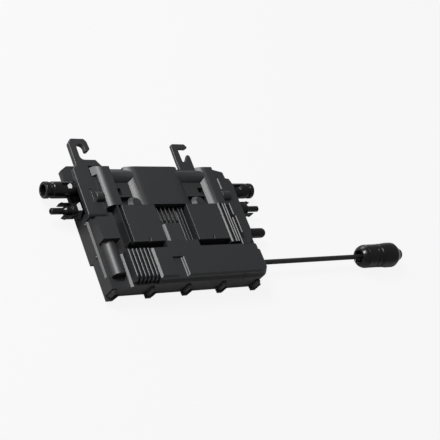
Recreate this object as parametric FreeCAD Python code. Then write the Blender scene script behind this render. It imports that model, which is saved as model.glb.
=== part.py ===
import FreeCAD
import Part
import os
from math import atan2, cos, hypot, pi, radians, sin, sqrt, tan
from FreeCAD import Vector

# A solar microinverter: a flat ribbed housing that lies on its back, with two
# hook brackets, two pairs of direct current couplers and an output lead.
# Millimetres. While it is built, x runs from the left wall, y from the lower
# wall and z up from the back pad. At the end everything moves so that the
# origin is at the middle of the underside.

# Housing
housing_length = 224.0
housing_depth = 154.0
pad_height = 6.0
pad_low = 42.5
pad_inset = 12.0
seam_height = 9.0
tray_floor = 3.0
base_height = 25.7
front_height = 38.4
wall = 2.6
front_wall = 2.4
chamfer_height = 19.2
wall_chamfer = 2.0
chamfer_low = 16.0
corner_round = 16.0
edge_round = 3.0

# Coupler bays in the two side walls, open at the back and at the top
bay_depth = 17.0
bay_margin = 9.0
rail_width = 3.0
corner_rise = 18.6
corner_cut_x = 9.2
corner_cut_y = 6.1
corner_width = 20.0

# Screw lugs along the lower wall, each with a round boss above it
lug_count = 5
lug_first = 18.8
lug_last = 0.4
lug_reach = 5.5
lug_tip = 7.0
lug_slope = 10.5
lug_boss_radius = 3.2
lug_boss_height = 24.0
lug_boss_taper = 2.0
screw_radius = 1.4
screw_head_radius = 2.6
screw_head_height = 1.8
screw_length = 12.0
post_radius = 4.4
post_overlap = 0.8
lug_screw_inset = 0.8

# Raised shapes of the front cover
shelf_length = 24.6
shelf_ramp = 2.6
shelf_ramp_rise = 2.2
block_low = 55.5
block_high = 84.0
block_neck_width = 4.6
block_neck_reach = 8.0
roll_radius = 9.1
roll_axis_x = 13.5
roll_low = 14.4
roll_recess_low = 8.0
roll_recess_depth = 1.6
lower_block_top = 41.5
lower_block_front = 5.2
lower_block_lip = 3.4
lip_drop = 5.9
skirt_drop = 9.4
fins_left = 28.6
end_round = 7.0
fin_count = 6
fin_pitch = 5.33
fin_width = 2.4
fin_bevel = 1.5
fin_bevel_drop = 1.25
fin_end_bevel = 2.6
fin_end_drop = 2.2
fin_floor = 28.0
fin_lower_round = 6.5
scoop_left = 84.5
scoop_width = 12.5
scoop_bevel = 1.1
scoop_step = 1.3
scoop_depth = 2.2
scoop_high = 28.9
bridge_overlap = 3.2
bridge_gap = 2.2
bar_notch_width = 10.0
bar_notch_length = 8.0
bar_notch_round = 3.0
bar_top_round = 10.9
groove_width = 0.9
groove_depth = 1.2
groove_from_end = 91.0
groove_length = 45.0
groove_drop = 2.5
stroke_from_end = 41.0
stroke_drop = 4.0
stroke_top_gap = 2.4

# Lids over the two raised wells
lid_thickness = 2.2
left_lid_left = 40.8
lid_width = 45.8
lid_depth = 49.2
right_lid_inset = 46.0
lid_low = 49.8
lid_bump_radius = 5.6
lid_bump_reach = 3.2
lid_bump_flare = 3.8
lid_bump_drop = 4.6
lid_notch_width = 1.6
lid_notch_length = 4.6
lid_screw_radius = 1.2
rib_left = 34.9
rib_width = 1.5

# Sink that fills the pocket between the lids
sink_clearance = 0.15
sink_base = 2.0
sink_fin_width = 1.5
sink_fin_drop = 5.9
short_fin_count = 5
short_fin_start = 0.116
short_fin_share = 0.1305
short_fin_length = 17.5
long_fin_inset = 9.6
long_fin_pitch = 4.6
sink_block_start = 0.2105
sink_block_share = 0.4737
sink_block_depth = 22.4
sink_block_bevel = 4.0

# Humps and rolls above the lids
lid_gap = 0.1
hump_back_run = 2.5
hump_back_drop = 5.0
left_hump_foot = 21.4
left_hump_radius = 10.9
left_hump_width = 21.6
mid_hump_foot = 66.0
mid_hump_radius = 22.0
mid_hump_past_lid = 11.4
right_hump_width = 21.0
right_hump_radius = 15.0
right_hump_inset = 31.0
recess_drop = 6.5
cross_roll_radius = 10.0
cross_roll_inset = 12.6
cross_roll_z = 27.1
left_window_gap = 1.2
right_window_gap = 8.2
window_width = 8.4
window_depth = 9.6
window_drop = 7.2
window_rise = 16.5
trough_rise = 3.9
trough_width = 10.2
trough_drop = 6.4

# Ribs beside the right lid
side_rib_gap = 1.8
side_rib_pitch = 3.6
side_rib_width = 1.7
wide_rib_width = 3.2
side_rib_split = 33.2
short_rib_places = (14.4, 17.8, 20.1)
short_rib_start = 11.7

# Hook brackets and side brackets
bracket_face = 30.0
bracket_plate = 5.9
bracket_clearance = 0.15
left_bracket_drop = 17.0
left_bracket_inner = 25.7
bracket_step_inset = 11.0
left_bracket_round = 5.0
shoulder_rise = 3.0
left_hook_length = 38.5
hook_slot_left = 15.2
hook_slot_width = 9.5
right_hook_length = 37.1
right_hook_root_inset = 9.0
right_hook_offset = 18.2
right_hook_arm = 9.3
right_throat_rise = 10.9
right_hook_beam = 7.5
right_hook_width = 24.0
finger_rise = 21.0
right_hook_thickness = 4.0
right_bracket_low = 46.4
right_bracket_width = 22.0
right_bracket_rise = 1.5
slit_width = 1.8
slit_length = 16.0
slit_depth = 1.6
left_boss_rise = 25.8
left_boss_x = 15.5
right_boss_drop = 16.3
right_boss_inset = 27.5
right_boss_length = 13.0
boss_radius = 6.2

# Direct current couplers
left_fat_inset = 20.0
left_pitch = 28.0
right_fat_inset = 23.3
right_pitch = 27.0
coupler_z = 15.3
fat_length = 55.0
fat_radius = 9.7
fat_waist = 8.1
fat_waist_end = 17.2
fat_cone = 44.0
fat_groove = 47.3
fat_groove_width = 1.8
fat_groove_radius = 8.0
fat_bore = 6.4
fat_bore_clear = 20.0
fat_chamber = 6.0
fat_chamber_radius = 4.4
pocket_start = 26.0
pocket_end = 34.0
pocket_floor = 6.6
pocket_ramp = 4.0
pocket_width = 7.0
fat_thread = 8.0
fat_thread_radius = 5.0
probe_length = 54.6
probe_radius = 3.75
probe_body_radius = 7.2
collar_start = 17.3
collar_length = 2.2
collar_across = 10.1
collar_taper = 3.6
sleeve_base_radius = 5.6
sleeve_base_end = 36.0
sleeve_cone = 2.5
sleeve_tip = 1.0
probe_thread = 8.0
probe_thread_radius = 4.6
nut_thickness = 4.0
fat_nut_across = 11.6
probe_nut_across = 11.0
washer_thickness = 1.2
washer_overhang = 0.4
flange_radius = 8.5
finger_spread = 9.2
finger_width = 6.4
finger_thickness = 1.8
pin_radius = 1.6
pin_body_radius = 2.6
pin_tail = 10.0
tail_gap = 0.8

# Aerial beside the lower right corner
aerial_y = 68.5
aerial_radius = 6.2
aerial_length = 32.6
aerial_bore = 2.2
aerial_rod_radius = 2.2
aerial_neck_radius = 4.4
aerial_tail = 10.0

# Plugs in the left wall
upper_plug_drop = 10.4
upper_plug_z = 15.6
lower_plug_y = 44.3
lower_plug_z = 16.3
plug_radius = 2.4
plug_head = 1.2

# Output lead and its coupler
lead_y = 26.2
lead_radius = 3.15
grommet_length = 5.0
grommet_radius = 4.8
grommet_flange_radius = 7.0
lead_straight = 175.5
lead_inside = 12.0
gland_length = 7.5
gland_face_radius = 9.2
gland_dome_radius = 14.2
gland_recess_radius = 8.6
gland_recess_floor = 6.0
gland_recess_depth = 6.5
coupler_radius = 16.6
coupler_body_radius = 15.4
coupler_body_length = 17.4
coupler_groove = 1.0
coupler_groove_depth = 0.8
coupler_ring_length = 8.0
coupler_bevel = 1.6
coupler_waist_length = 8.6
coupler_swell = 7.5
coupler_front_length = 32.1
coupler_nose_length = 11.1
coupler_nose_radius = 8.2
coupler_shell = 1.6
coupler_mouth = 12.0
insert_seat = 0.6
contact_radius = 1.5
contact_length = 10.0
contact_count = 4

# Inside
board_thickness = 1.6
board_clearance = 1.2
board_height = 11.0
board_post_radius = 3.0
board_screw_radius = 1.2
board_screw_head = 2.2
gasket_width = 1.2
gasket_height = 1.0
core_clearance = 0.3
core_length = 34.0
core_width = 27.0
core_leg_radius = 6.0
coil_radius = 14.6
core_plate = 4.0
pad_thickness = 1.5
capacitor_radius = 8.0
capacitor_margin = 5.5
capacitor_count = 3
capacitor_gap = 4.0
capacitor_first = 70.0
capacitor_y = 20.0
choke_radius = 10.5
choke_bore = 4.5
choke_height = 8.4
choke_inset = 34.0
choke_y = 21.0
film_share = 0.65
film_width = 9.0
film_headroom = 8.4
film_gap = 2.4
relay_share = 0.57
relay_gap = 1.0
relay_width = 15.0
relay_headroom = 10.9
relay_inset = 15.4
switch_count = 4
switch_gap = 1.5
switch_width = 15.0
switch_height = 4.4
switch_margin = 1.8
pedestal_gap = 2.0
terminal_length = 9.0
terminal_width = 8.0
terminal_height = 6.6


def point(plane, level, u, v):
    # Planes: xy at a height, xz at a y, yz at an x.
    if plane == "xy":
        return Vector(u, v, level)
    if plane == "xz":
        return Vector(u, level, v)
    return Vector(level, u, v)


def outline(plane, level, corners):
    # Closed face from corners (u, v) or rounded corners (u, v, radius).
    count = len(corners)
    starts = []
    ends = []
    middles = []
    for i, corner in enumerate(corners):
        before = corners[i - 1]
        after = corners[(i + 1) % count]
        u, v = corner[0], corner[1]
        if len(corner) < 3 or corner[2] <= 0:
            starts.append((u, v))
            ends.append((u, v))
            middles.append(None)
            continue
        back = (before[0] - u, before[1] - v)
        ahead = (after[0] - u, after[1] - v)
        back_long = hypot(*back)
        ahead_long = hypot(*ahead)
        back = (back[0] / back_long, back[1] / back_long)
        ahead = (ahead[0] / ahead_long, ahead[1] / ahead_long)
        turn = atan2(abs(back[0] * ahead[1] - back[1] * ahead[0]), back[0] * ahead[0] + back[1] * ahead[1])
        reach = corner[2] / tan(turn / 2)
        bisector = (back[0] + ahead[0], back[1] + ahead[1])
        bisector_long = hypot(*bisector)
        apart = corner[2] / sin(turn / 2)
        inward = (apart - corner[2]) / bisector_long
        starts.append((u + back[0] * reach, v + back[1] * reach))
        ends.append((u + ahead[0] * reach, v + ahead[1] * reach))
        middles.append((u + bisector[0] * inward, v + bisector[1] * inward))
    edges = []
    for i in range(count):
        following = (i + 1) % count
        if middles[i] is not None:
            bend = [starts[i], middles[i], ends[i]]
            bend = [point(plane, level, *where) for where in bend]
            edges.append(Part.Arc(*bend).toShape())
        first = point(plane, level, *ends[i])
        last = point(plane, level, *starts[following])
        if first.distanceToPoint(last) > 0.0001:
            edges.append(Part.LineSegment(first, last).toShape())
    return Part.Face(Part.Wire(edges))


def prism(corners, low, high):
    return outline("xy", low, corners).extrude(Vector(0, 0, high - low))


def along_x(corners, low, high):
    return outline("yz", low, corners).extrude(Vector(high - low, 0, 0))


def along_y(corners, low, high):
    return outline("xz", low, corners).extrude(Vector(0, high - low, 0))


def box(x0, x1, y0, y1, z0, z1):
    return Part.makeBox(x1 - x0, y1 - y0, z1 - z0, Vector(x0, y0, z0))


def rod(x, y, z0, z1, radius):
    return Part.makeCylinder(radius, z1 - z0, Vector(x, y, z0), Vector(0, 0, 1))


def joined(shapes):
    first = shapes[0]
    return first.multiFuse(shapes[1:]).removeSplitter()


def turned(profile):
    # Profile of (length along the axis, radius) pairs, closed to the axis line
    # by its own points, turned about the x axis.
    corners = [(u, v) for u, v in profile]
    face = outline("xz", 0.0, corners)
    return face.revolve(Vector(0, 0, 0), Vector(1, 0, 0), 360)


def hexagon(across, low, high):
    # Six sided nut blank about the x axis.
    radius = across / 2 / cos(radians(30))
    corners = []
    for i in range(6):
        angle = radians(60 * i)
        corners.append((radius * cos(angle), radius * sin(angle)))
    return along_x(corners, low, high)


def put(shape, side, y, z, wall_x):
    # The couplers are built pointing along +x from their wall.
    moved = shape.copy()
    if side == "left":
        moved.rotate(Vector(0, 0, 0), Vector(0, 0, 1), 180)
    moved.translate(Vector(wall_x, y, z))
    return moved


# Places that follow from the values above
pad_high = housing_depth - pad_inset
corner_reach = housing_depth + corner_rise
lug_pitch = (housing_length - lug_last - lug_first) / (lug_count - 1)
bay_wall_left = bay_depth
bay_wall_right = housing_length - bay_depth
left_fat_y = housing_depth - left_fat_inset
left_probe_y = left_fat_y - left_pitch
right_fat_y = housing_depth - right_fat_inset
right_probe_y = right_fat_y - right_pitch
bracket_back = bracket_face - bracket_plate
room_height = bracket_back - front_wall
left_bay_low = left_probe_y - bay_margin
right_bay_low = right_probe_y - bay_margin

lid_high = lid_low + lid_depth
left_lid_right = left_lid_left + lid_width
right_lid_right = housing_length - right_lid_inset
right_lid_left = right_lid_right - lid_width
lid_seat = front_height - lid_thickness
pocket = right_lid_left - left_lid_right
bridge_left = left_lid_right - bridge_overlap
bridge_right = right_lid_left - bridge_gap
fins_right = fins_left + fin_count * fin_pitch
lower_block_lip_height = front_height - lip_drop
lower_block_skirt_height = front_height - skirt_drop
sink_fin_top = front_height - sink_fin_drop

hump_low = lid_high + lid_gap
hump_high = housing_depth - hump_back_run
recess_floor = front_height - recess_drop
left_hump_right = left_hump_foot + left_hump_width
mid_hump_right = right_lid_left + mid_hump_past_lid
right_hump_right = housing_length - right_hump_inset
right_hump_foot = right_hump_right - right_hump_width
cross_roll_y = housing_depth - cross_roll_inset
left_window = left_hump_right + left_window_gap
right_window = right_hump_foot - right_window_gap
window_low = hump_low + window_rise
trough_low = hump_low + trough_rise
trough_high = trough_low + trough_width
side_rib_first = right_lid_right + side_rib_gap

left_bracket_low = left_probe_y - left_bracket_drop
left_bracket_step = housing_depth - bracket_step_inset
left_shoulder = housing_depth + shoulder_rise
left_hook_reach = left_shoulder + left_hook_length
left_boss_y = left_bracket_low + left_boss_rise
right_bracket_high = housing_depth + right_bracket_rise
right_boss_x = housing_length - right_boss_inset
right_boss_y = right_fat_y - right_boss_drop
right_hook_left = right_lid_left + right_hook_offset
right_hook_finger = right_hook_left + right_hook_width
right_hook_reach = housing_depth + right_hook_length
right_hook_root = housing_depth - right_hook_root_inset
right_hook_throat = housing_depth + right_throat_rise
right_hook_finger_top = housing_depth + finger_rise

board_left = bay_wall_left + fat_thread + tail_gap
board_right = bay_wall_right - fat_thread - tail_gap
board_top = board_height + board_thickness
choke_x = housing_length - choke_inset
capacitor_end = choke_x - choke_radius - capacitor_margin
capacitor_room = capacitor_end - capacitor_first - (capacitor_count - 1) * capacitor_gap
capacitor_length = capacitor_room / capacitor_count
switch_pitch = (pocket - 2 * switch_margin) / switch_count
switch_length = switch_pitch - switch_gap
film_height = front_height - front_wall - film_headroom - board_top
relay_height = front_height - front_wall - relay_headroom - board_top


def plan(inset):
    # Outline of the housing with its two coupler bays, moved inward by inset.
    right = housing_length - inset
    inner_right = bay_wall_right - inset
    inner_left = bay_wall_left + inset
    top = housing_depth - inset
    return [
        (inset, inset),
        (right, inset, corner_round - inset),
        (right, right_bay_low - inset),
        (inner_right, right_bay_low - inset),
        (inner_right, top),
        (inner_left, top),
        (inner_left, left_bay_low - inset),
        (inset, left_bay_low - inset),
    ]


def lug_places():
    return [lug_first + i * lug_pitch for i in range(lug_count)]


def lug_outline(right):
    # A lug whose right end is at x = right, straight at its left side.
    tip_right = right - lug_slope
    left = tip_right - lug_tip
    if left < lug_tip:
        left = 0.0
    return [(left, wall), (left, -lug_reach), (tip_right, -lug_reach), (right, 0), (right, wall)]


def lug_axis(right):
    return right - lug_slope - lug_tip / 2


def lug_boss(right):
    # Round boss on the lower wall that takes the screw of a lug.
    x = lug_axis(right)
    y = -lug_screw_inset
    top = lug_boss_height - lug_boss_taper
    post = rod(x, y, seam_height, top, lug_boss_radius)
    tip = Part.makeCone(lug_boss_radius, lug_boss_radius - lug_boss_taper, lug_boss_taper, Vector(x, y, top), Vector(0, 0, 1))
    return joined([post, tip])


def lower_screws():
    return [(lug_axis(right), -lug_screw_inset) for right in lug_places()]


def upper_screws():
    # Four posts stand inside the upper wall and run a little way into it.
    y = housing_depth - wall - post_radius + post_overlap
    first = bay_wall_left + wall + post_radius - post_overlap
    last = bay_wall_right - wall - post_radius + post_overlap
    return [(first + i * (last - first) / 3, y) for i in range(4)]


def board_posts():
    inset = terminal_length + 2 * board_post_radius
    left = board_left + inset
    right = board_right - inset
    low = wall + board_clearance + board_post_radius
    high = board_upper_edge() - board_post_radius - 1.0
    return [(left, low), (right, low), (left, high), (right, high)]


def board_upper_edge():
    return housing_depth - wall - 2 * post_radius - board_clearance


def rear_tray():
    plate = prism(plan(0), pad_height, seam_height)
    pad = prism(plan(0), 0, pad_height)
    pad = pad.common(box(-1, housing_length + 1, pad_low, pad_high, -1, pad_height + 1))
    lugs = [prism(lug_outline(right), pad_height, seam_height) for right in lug_places()]
    corner = box(
        housing_length - corner_round,
        housing_length,
        0,
        corner_round,
        pad_height,
        pad_height + 1.5,
    )
    ear = [
        (0, left_bay_low - 1),
        (rail_width, left_bay_low - 1),
        (rail_width, housing_depth - 2),
        (bay_wall_left + 1, housing_depth - 2),
        (corner_width, housing_depth),
        (corner_width, corner_reach),
        (corner_cut_x, corner_reach),
        (0, corner_reach - corner_cut_y),
    ]
    shelf_end = left_probe_y - probe_body_radius - 0.6
    floor_left = box(0, bay_wall_left + 1, left_bay_low - 1, shelf_end, 0, pad_height)
    bay_left = box(1, bay_wall_left + 1, left_bay_low - 1, housing_depth - 1, 0, tray_floor)
    bay_right = box(bay_wall_right - 1, housing_length - 1, right_bay_low - 1, pad_high - 1, 0, tray_floor)
    rail_right = box(
        housing_length - rail_width,
        housing_length,
        right_bay_low - 1,
        pad_high,
        0,
        pad_height,
    )
    bar_right = box(
        bay_wall_right - 1,
        housing_length,
        pad_high - 2 * rail_width,
        pad_high,
        0,
        pad_height,
    )
    parts = [plate, pad, corner, prism(ear, 0, pad_height), floor_left, rail_right, bar_right]
    parts += [bay_left, bay_right]
    outer = joined(parts + lugs)
    pan = prism(plan(wall), tray_floor, seam_height + 1)
    pan = pan.common(box(0, housing_length, pad_low + wall, pad_high - wall, 0, seam_height + 2))
    outer = outer.cut(pan)
    posts = []
    for x, y in board_posts():
        posts.append(rod(x, y, tray_floor - 1 if y > pad_low else pad_height + 1, board_height, board_post_radius))
    outer = joined([outer] + posts)
    for x, y in lower_screws() + upper_screws():
        outer = outer.cut(rod(x, y, -1, seam_height + 1, screw_radius))
    for x, y in board_posts():
        outer = outer.cut(rod(x, y, board_height - 6, board_height + 1, board_screw_radius))
    return outer.cut(gasket_ring())


def gasket_ring():
    # Cord seal let into the rim of the tray, half way through the wall.
    inset = (wall - gasket_width) / 2
    low = seam_height - gasket_height
    ring = prism(plan(inset), low, seam_height)
    return ring.cut(prism(plan(inset + gasket_width), low - 1, seam_height + 1))


def housing_screws():
    # Cap screws that hold the tray to the cover, heads on the back.
    screws = []
    for x, y in lower_screws() + upper_screws():
        head = rod(x, y, pad_height - screw_head_height, pad_height, screw_head_radius)
        shank = rod(x, y, pad_height, pad_height + screw_length, screw_radius)
        screws.append(joined([head, shank]))
    return Part.makeCompound(screws)


def lower_block():
    # The thick bar along the lower edge: one profile along x, one along y,
    # and the rounded lower right corner seen from the front.
    section = [
        (0, seam_height),
        (0, lower_block_skirt_height, 1.5),
        (lower_block_lip, lower_block_lip_height, 1.0),
        (lower_block_lip, front_height, edge_round),
        (lower_block_top, front_height),
        (lower_block_top, seam_height),
    ]
    long_bar = along_x(section, shelf_length, housing_length)
    view = [
        (shelf_length, seam_height),
        (shelf_length, base_height),
        (shelf_length + shelf_ramp, base_height + shelf_ramp_rise),
        (fins_left, front_height - fin_bevel_drop),
        (fins_left + fin_bevel, front_height),
        (housing_length - end_round, front_height, end_round),
        (housing_length, lower_block_skirt_height, 2.0),
        (housing_length, seam_height),
    ]
    bar = long_bar.common(along_y(view, -1, lower_block_top + 1))
    from_front = [
        (shelf_length - 1, 0),
        (housing_length, 0, corner_round),
        (housing_length, lower_block_top),
        (shelf_length - 1, lower_block_top),
    ]
    bar = bar.common(prism(from_front, seam_height - 1, front_height + 1))
    bar = bar.cut(corner_slope()).cut(bar_notch())
    for cut in fin_gaps():
        bar = bar.cut(cut)
    bar = bar.cut(fin_rounding()).cut(scoop())
    for groove in skirt_grooves():
        bar = bar.cut(groove)
    return bar


def corner_slope():
    # What the sloping round takes off the lower right corner of the bar.
    x = housing_length - corner_round
    low = lower_block_skirt_height
    rise = front_height - low
    lean = (corner_round - bar_top_round) / rise
    above = rise + 1
    cone = Part.makeCone(corner_round, corner_round - lean * above, above, Vector(x, corner_round, low), Vector(0, 0, 1))
    return box(x, housing_length + 1, -1, corner_round, low, front_height + 1).cut(cone)


def bar_notch():
    # The upper right corner of the bar stands back above the base.
    left = housing_length - bar_notch_width
    low = lower_block_top - bar_notch_length
    corners = [
        (left, low),
        (housing_length + 1, low),
        (housing_length + 1, lower_block_top + 1),
        (left - bar_notch_round, lower_block_top + 1),
        (left - bar_notch_round, lower_block_top),
        (left, lower_block_top, bar_notch_round * 0.9),
    ]
    return prism(corners, base_height, front_height + 1)


def skirt_grooves():
    # A level groove and a short upright one in the lower face of the bar.
    half = groove_width / 2
    left = housing_length - groove_from_end
    height = lower_block_skirt_height - groove_drop
    place = housing_length - stroke_from_end
    level = box(left, left + groove_length, -1, groove_depth, height - half, height + half)
    deep = lower_block_lip + groove_depth
    side = [
        (-1, lower_block_skirt_height - stroke_drop),
        (groove_depth, lower_block_skirt_height - stroke_drop),
        (groove_depth, lower_block_skirt_height),
        (deep, lower_block_lip_height),
        (deep, front_height - stroke_top_gap),
        (-1, front_height - stroke_top_gap),
    ]
    return [level, along_x(side, place - half, place + half)]


def fin_gaps():
    gaps = []
    for i in range(fin_count):
        left = fins_left + i * fin_pitch + fin_width
        right = fins_left + (i + 1) * fin_pitch
        bevel = fin_bevel
        drop = fin_bevel_drop
        if i == fin_count - 1:
            bevel = fin_end_bevel
            drop = fin_end_drop
        corners = [
            (left, fin_floor),
            (right, fin_floor),
            (right, front_height - drop),
            (right + bevel, front_height),
            (right + bevel, front_height + 1),
            (left, front_height + 1),
        ]
        gaps.append(along_y(corners, -1, lower_block_top + 1))
    return gaps


def fin_rounding():
    # The lower ends of the fins are rounded over.
    r = fin_lower_round
    side = [
        (lower_block_lip - 8, front_height + 1),
        (lower_block_lip - 8, lower_block_lip_height - 4),
        (lower_block_lip, lower_block_lip_height - 4),
        (lower_block_lip, front_height, r),
        (lower_block_lip + r + 2, front_height),
        (lower_block_lip + r + 2, front_height + 1),
    ]
    return along_x(side, shelf_length - 1, fins_right)


def scoop():
    # Shallow step sunk in the face of the bar, open over its lower edge.
    left = scoop_left
    right = scoop_left + scoop_width
    floor = front_height - scoop_depth
    half = front_height - scoop_depth / 2
    corners = [
        (left, floor),
        (right, floor),
        (right + scoop_bevel, half),
        (right + scoop_bevel + scoop_step, half),
        (right + 2 * scoop_bevel + scoop_step, front_height),
        (right + 2 * scoop_bevel + scoop_step, front_height + 1),
        (left, front_height + 1),
    ]
    return along_y(corners, -1, scoop_high)


def hump(foot, right, left_radius, right_radius, foot_height):
    # A 45 degree foot on the left that rounds into the flat top. The right
    # side either rounds off in the same way or drops straight.
    reach = left_radius * sin(pi / 4)
    drop = left_radius * (1 - cos(pi / 4))
    run = front_height - drop - foot_height
    y = hump_low
    round_start = Vector(foot + run, y, front_height - drop)
    top_start = Vector(foot + run + reach, y, front_height)
    bend = Vector(top_start.x - left_radius * sin(pi / 8), y, front_height - left_radius * (1 - cos(pi / 8)))
    points = [Vector(foot, y, seam_height), Vector(foot, y, foot_height), round_start]
    edges = [Part.LineSegment(a, b).toShape() for a, b in zip(points, points[1:]) if a.distanceToPoint(b) > 0.001]
    edges.append(Part.Arc(round_start, bend, top_start).toShape())
    corner = Vector(right, y, seam_height)
    if right_radius > 0:
        right_reach = right_radius * sin(pi / 4)
        right_drop = right_radius * (1 - cos(pi / 4))
        top_end = Vector(right - right_reach, y, front_height)
        side = Vector(right, y, front_height - right_drop)
        bend = Vector(
            top_end.x + right_radius * sin(pi / 8),
            y,
            front_height - right_radius * (1 - cos(pi / 8)),
        )
        edges.append(Part.LineSegment(top_start, top_end).toShape())
        edges.append(Part.Arc(top_end, bend, side).toShape())
        edges.append(Part.LineSegment(side, corner).toShape())
    else:
        top_end = Vector(right, y, front_height)
        edges.append(Part.LineSegment(top_start, top_end).toShape())
        edges.append(Part.LineSegment(top_end, corner).toShape())
    edges.append(Part.LineSegment(corner, points[0]).toShape())
    solid = Part.Face(Part.Wire(edges)).extrude(Vector(0, housing_depth - hump_low, 0))
    side_view = [
        (hump_low, seam_height),
        (hump_low, front_height),
        (hump_high, front_height),
        (housing_depth, front_height - hump_back_drop),
        (housing_depth, seam_height),
    ]
    return solid.common(along_x(side_view, foot - 1, right + 1))


def cross_roll(left, right):
    centre = Vector(left, cross_roll_y, cross_roll_z)
    cylinder = Part.makeCylinder(cross_roll_radius, right - left, centre, Vector(1, 0, 0))
    reach = cross_roll_radius + 1
    below = box(
        left - 1,
        right + 1,
        cross_roll_y - reach,
        cross_roll_y + reach,
        cross_roll_z - reach,
        base_height - 1,
    )
    return cylinder.cut(below)


def recess_slab(left, right, window):
    slab = box(left, right, hump_low - 1, hump_high, seam_height, recess_floor)
    trough = box(
        left + 4,
        right - 4,
        trough_low,
        trough_high,
        recess_floor - trough_drop,
        recess_floor + 1,
    )
    hole = box(
        window,
        window + window_width,
        window_low,
        window_low + window_depth,
        recess_floor - window_drop,
        recess_floor + 1,
    )
    return slab.cut(trough).cut(hole)


def lid_well(left):
    return box(left, left + lid_width, lid_low, lid_high, seam_height, lid_seat)


def lid_well_cut(left):
    edge = front_wall
    return box(
        left + edge,
        left + lid_width - edge,
        lid_low + edge,
        lid_high - edge,
        room_height - 1,
        lid_seat + 1,
    )


def lid_bump(left):
    # Flared half round boss that locates the upper edge of a lid.
    x = left + lid_width / 2
    place = Vector(x, lid_high + lid_bump_reach, front_height - lid_bump_drop)
    wide = lid_bump_radius + lid_bump_flare
    cone = Part.makeCone(wide, lid_bump_radius, lid_bump_drop, place, Vector(0, 0, 1))
    foot = rod(place.x, place.y, base_height, place.z, wide)
    sides = [
        (x - wide, base_height),
        (x - wide, front_height - lid_bump_drop),
        (x - lid_bump_radius, front_height),
        (x + lid_bump_radius, front_height),
        (x + wide, front_height - lid_bump_drop),
        (x + wide, base_height),
    ]
    neck = along_y(sides, lid_high, lid_high + lid_bump_reach)
    under = box(x - wide - 1, x + wide + 1, lid_high - wide, lid_high, base_height - 1, front_height + 1)
    return joined([cone, foot, neck]).cut(under)


def left_block():
    corners = [
        (wall_chamfer, block_low),
        (shelf_length, block_low),
        (shelf_length, block_high + block_neck_reach),
        (shelf_length - block_neck_width, block_high + block_neck_reach),
        (shelf_length - block_neck_width, block_high),
        (wall_chamfer, block_high),
    ]
    return prism(corners, seam_height, front_height)


def shelf_roll():
    start = Vector(roll_axis_x, roll_low, base_height)
    cylinder = Part.makeCylinder(roll_radius, block_low - roll_low + 1, start, Vector(0, 1, 0))
    below = box(0, shelf_length, 0, block_low + 2, seam_height - 8, base_height - 1)
    return cylinder.cut(below)


def roll_recess():
    # Shallow hollow in the shelf before the end of the roll.
    left = roll_axis_x - roll_radius
    corners = [
        (left + 0.7, roll_low),
        (left + 0.7, roll_low - 2.6),
        (left + 3.2, roll_recess_low),
        (left + 13.9, roll_recess_low),
        (left + 17.6, roll_low),
    ]
    return prism(corners, base_height - roll_recess_depth, base_height + roll_radius)


def wall_step():
    # The side wall stands back above its chamfer.
    corners = [
        (-1, chamfer_height),
        (0, chamfer_height),
        (wall_chamfer, chamfer_height + wall_chamfer),
        (wall_chamfer, front_height + 1),
        (-1, front_height + 1),
    ]
    return along_y(corners, chamfer_low, left_bracket_low - bracket_clearance)


def left_seat():
    # Room in the cover for the left plate.
    gap = bracket_clearance
    corners = [
        (-1, left_bracket_low - gap),
        (left_bracket_inner + gap, left_bracket_low - gap),
        (left_bracket_inner + gap, left_bracket_step + gap),
        (left_hump_foot + gap, left_bracket_step + gap),
        (left_hump_foot + gap, housing_depth + 1),
        (-1, housing_depth + 1),
    ]
    return prism(corners, bracket_back, front_height + 2)


def left_bracket():
    # Side plate over the left bay, drawn out into a hook.
    top = left_hook_reach
    inner = left_bracket_inner
    slot_left = hook_slot_left
    slot_right = slot_left + hook_slot_width
    slot_top = top - 8.0
    shoulder = left_shoulder + 9.2
    hook_left = 5.8
    corners = [
        (0, left_bracket_low),
        (inner, left_bracket_low),
        (inner, left_bracket_step),
        (left_hump_foot, left_bracket_step),
        (left_hump_foot, left_shoulder),
        (slot_right + 16.3, left_shoulder),
        (slot_right + 10.0, shoulder),
        (slot_left, shoulder, 5.0),
        (slot_left, slot_top, hook_slot_width / 2),
        (slot_right, slot_top, hook_slot_width / 2),
        (slot_right, top - 18.0),
        (slot_right + 3.4, top - 18.0),
        (slot_right + 7.6, top - 14.5),
        (slot_right + 6.6, top - 4.0, 3.0),
        (slot_right + 3.6, top),
        (hook_left + 4.9, top),
        (hook_left, top - 6.4),
        (hook_left, left_shoulder + 1.8),
        (0, left_shoulder - 3.6),
    ]
    plate = prism(corners, bracket_back, bracket_face)
    boss = bracket_boss(left_boss_x, left_boss_y, inner - left_boss_x)
    shape = joined([plate, boss])
    slit = bracket_slit(left_boss_x - slit_width - 0.9, left_boss_y - 4.8)
    shape = shape.cut(slit).cut(bracket_rounding(inner))
    for x, y in left_bracket_screws():
        shape = shape.cut(rod(x, y, bracket_back - 1, bracket_face - 1.5, screw_radius))
    return shape


def bracket_rounding(inner):
    # What the large round takes off the lower edge of the left plate.
    low = left_bracket_low
    r = left_bracket_round
    side = [
        (low - 1, bracket_back),
        (low, bracket_back),
        (low, bracket_face, r),
        (low + r + 1, bracket_face),
        (low + r + 1, bracket_face + 1),
        (low - 1, bracket_face + 1),
    ]
    return along_x(side, -1, inner + 1)


def left_bracket_screws():
    x = (bay_wall_left + wall + left_bracket_inner) / 2
    return [(x, left_bracket_low + left_bracket_round + 3.0), (x, (left_fat_y + left_probe_y) / 2)]


def bracket_boss(x, y, length):
    centre = Vector(x, y, bracket_face)
    cylinder = Part.makeCylinder(boss_radius, length, centre, Vector(1, 0, 0))
    reach = boss_radius + 1
    below = box(x - 1, x + length + 1, y - reach, y + reach, bracket_face - reach, bracket_face - 2)
    return cylinder.cut(below)


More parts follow.
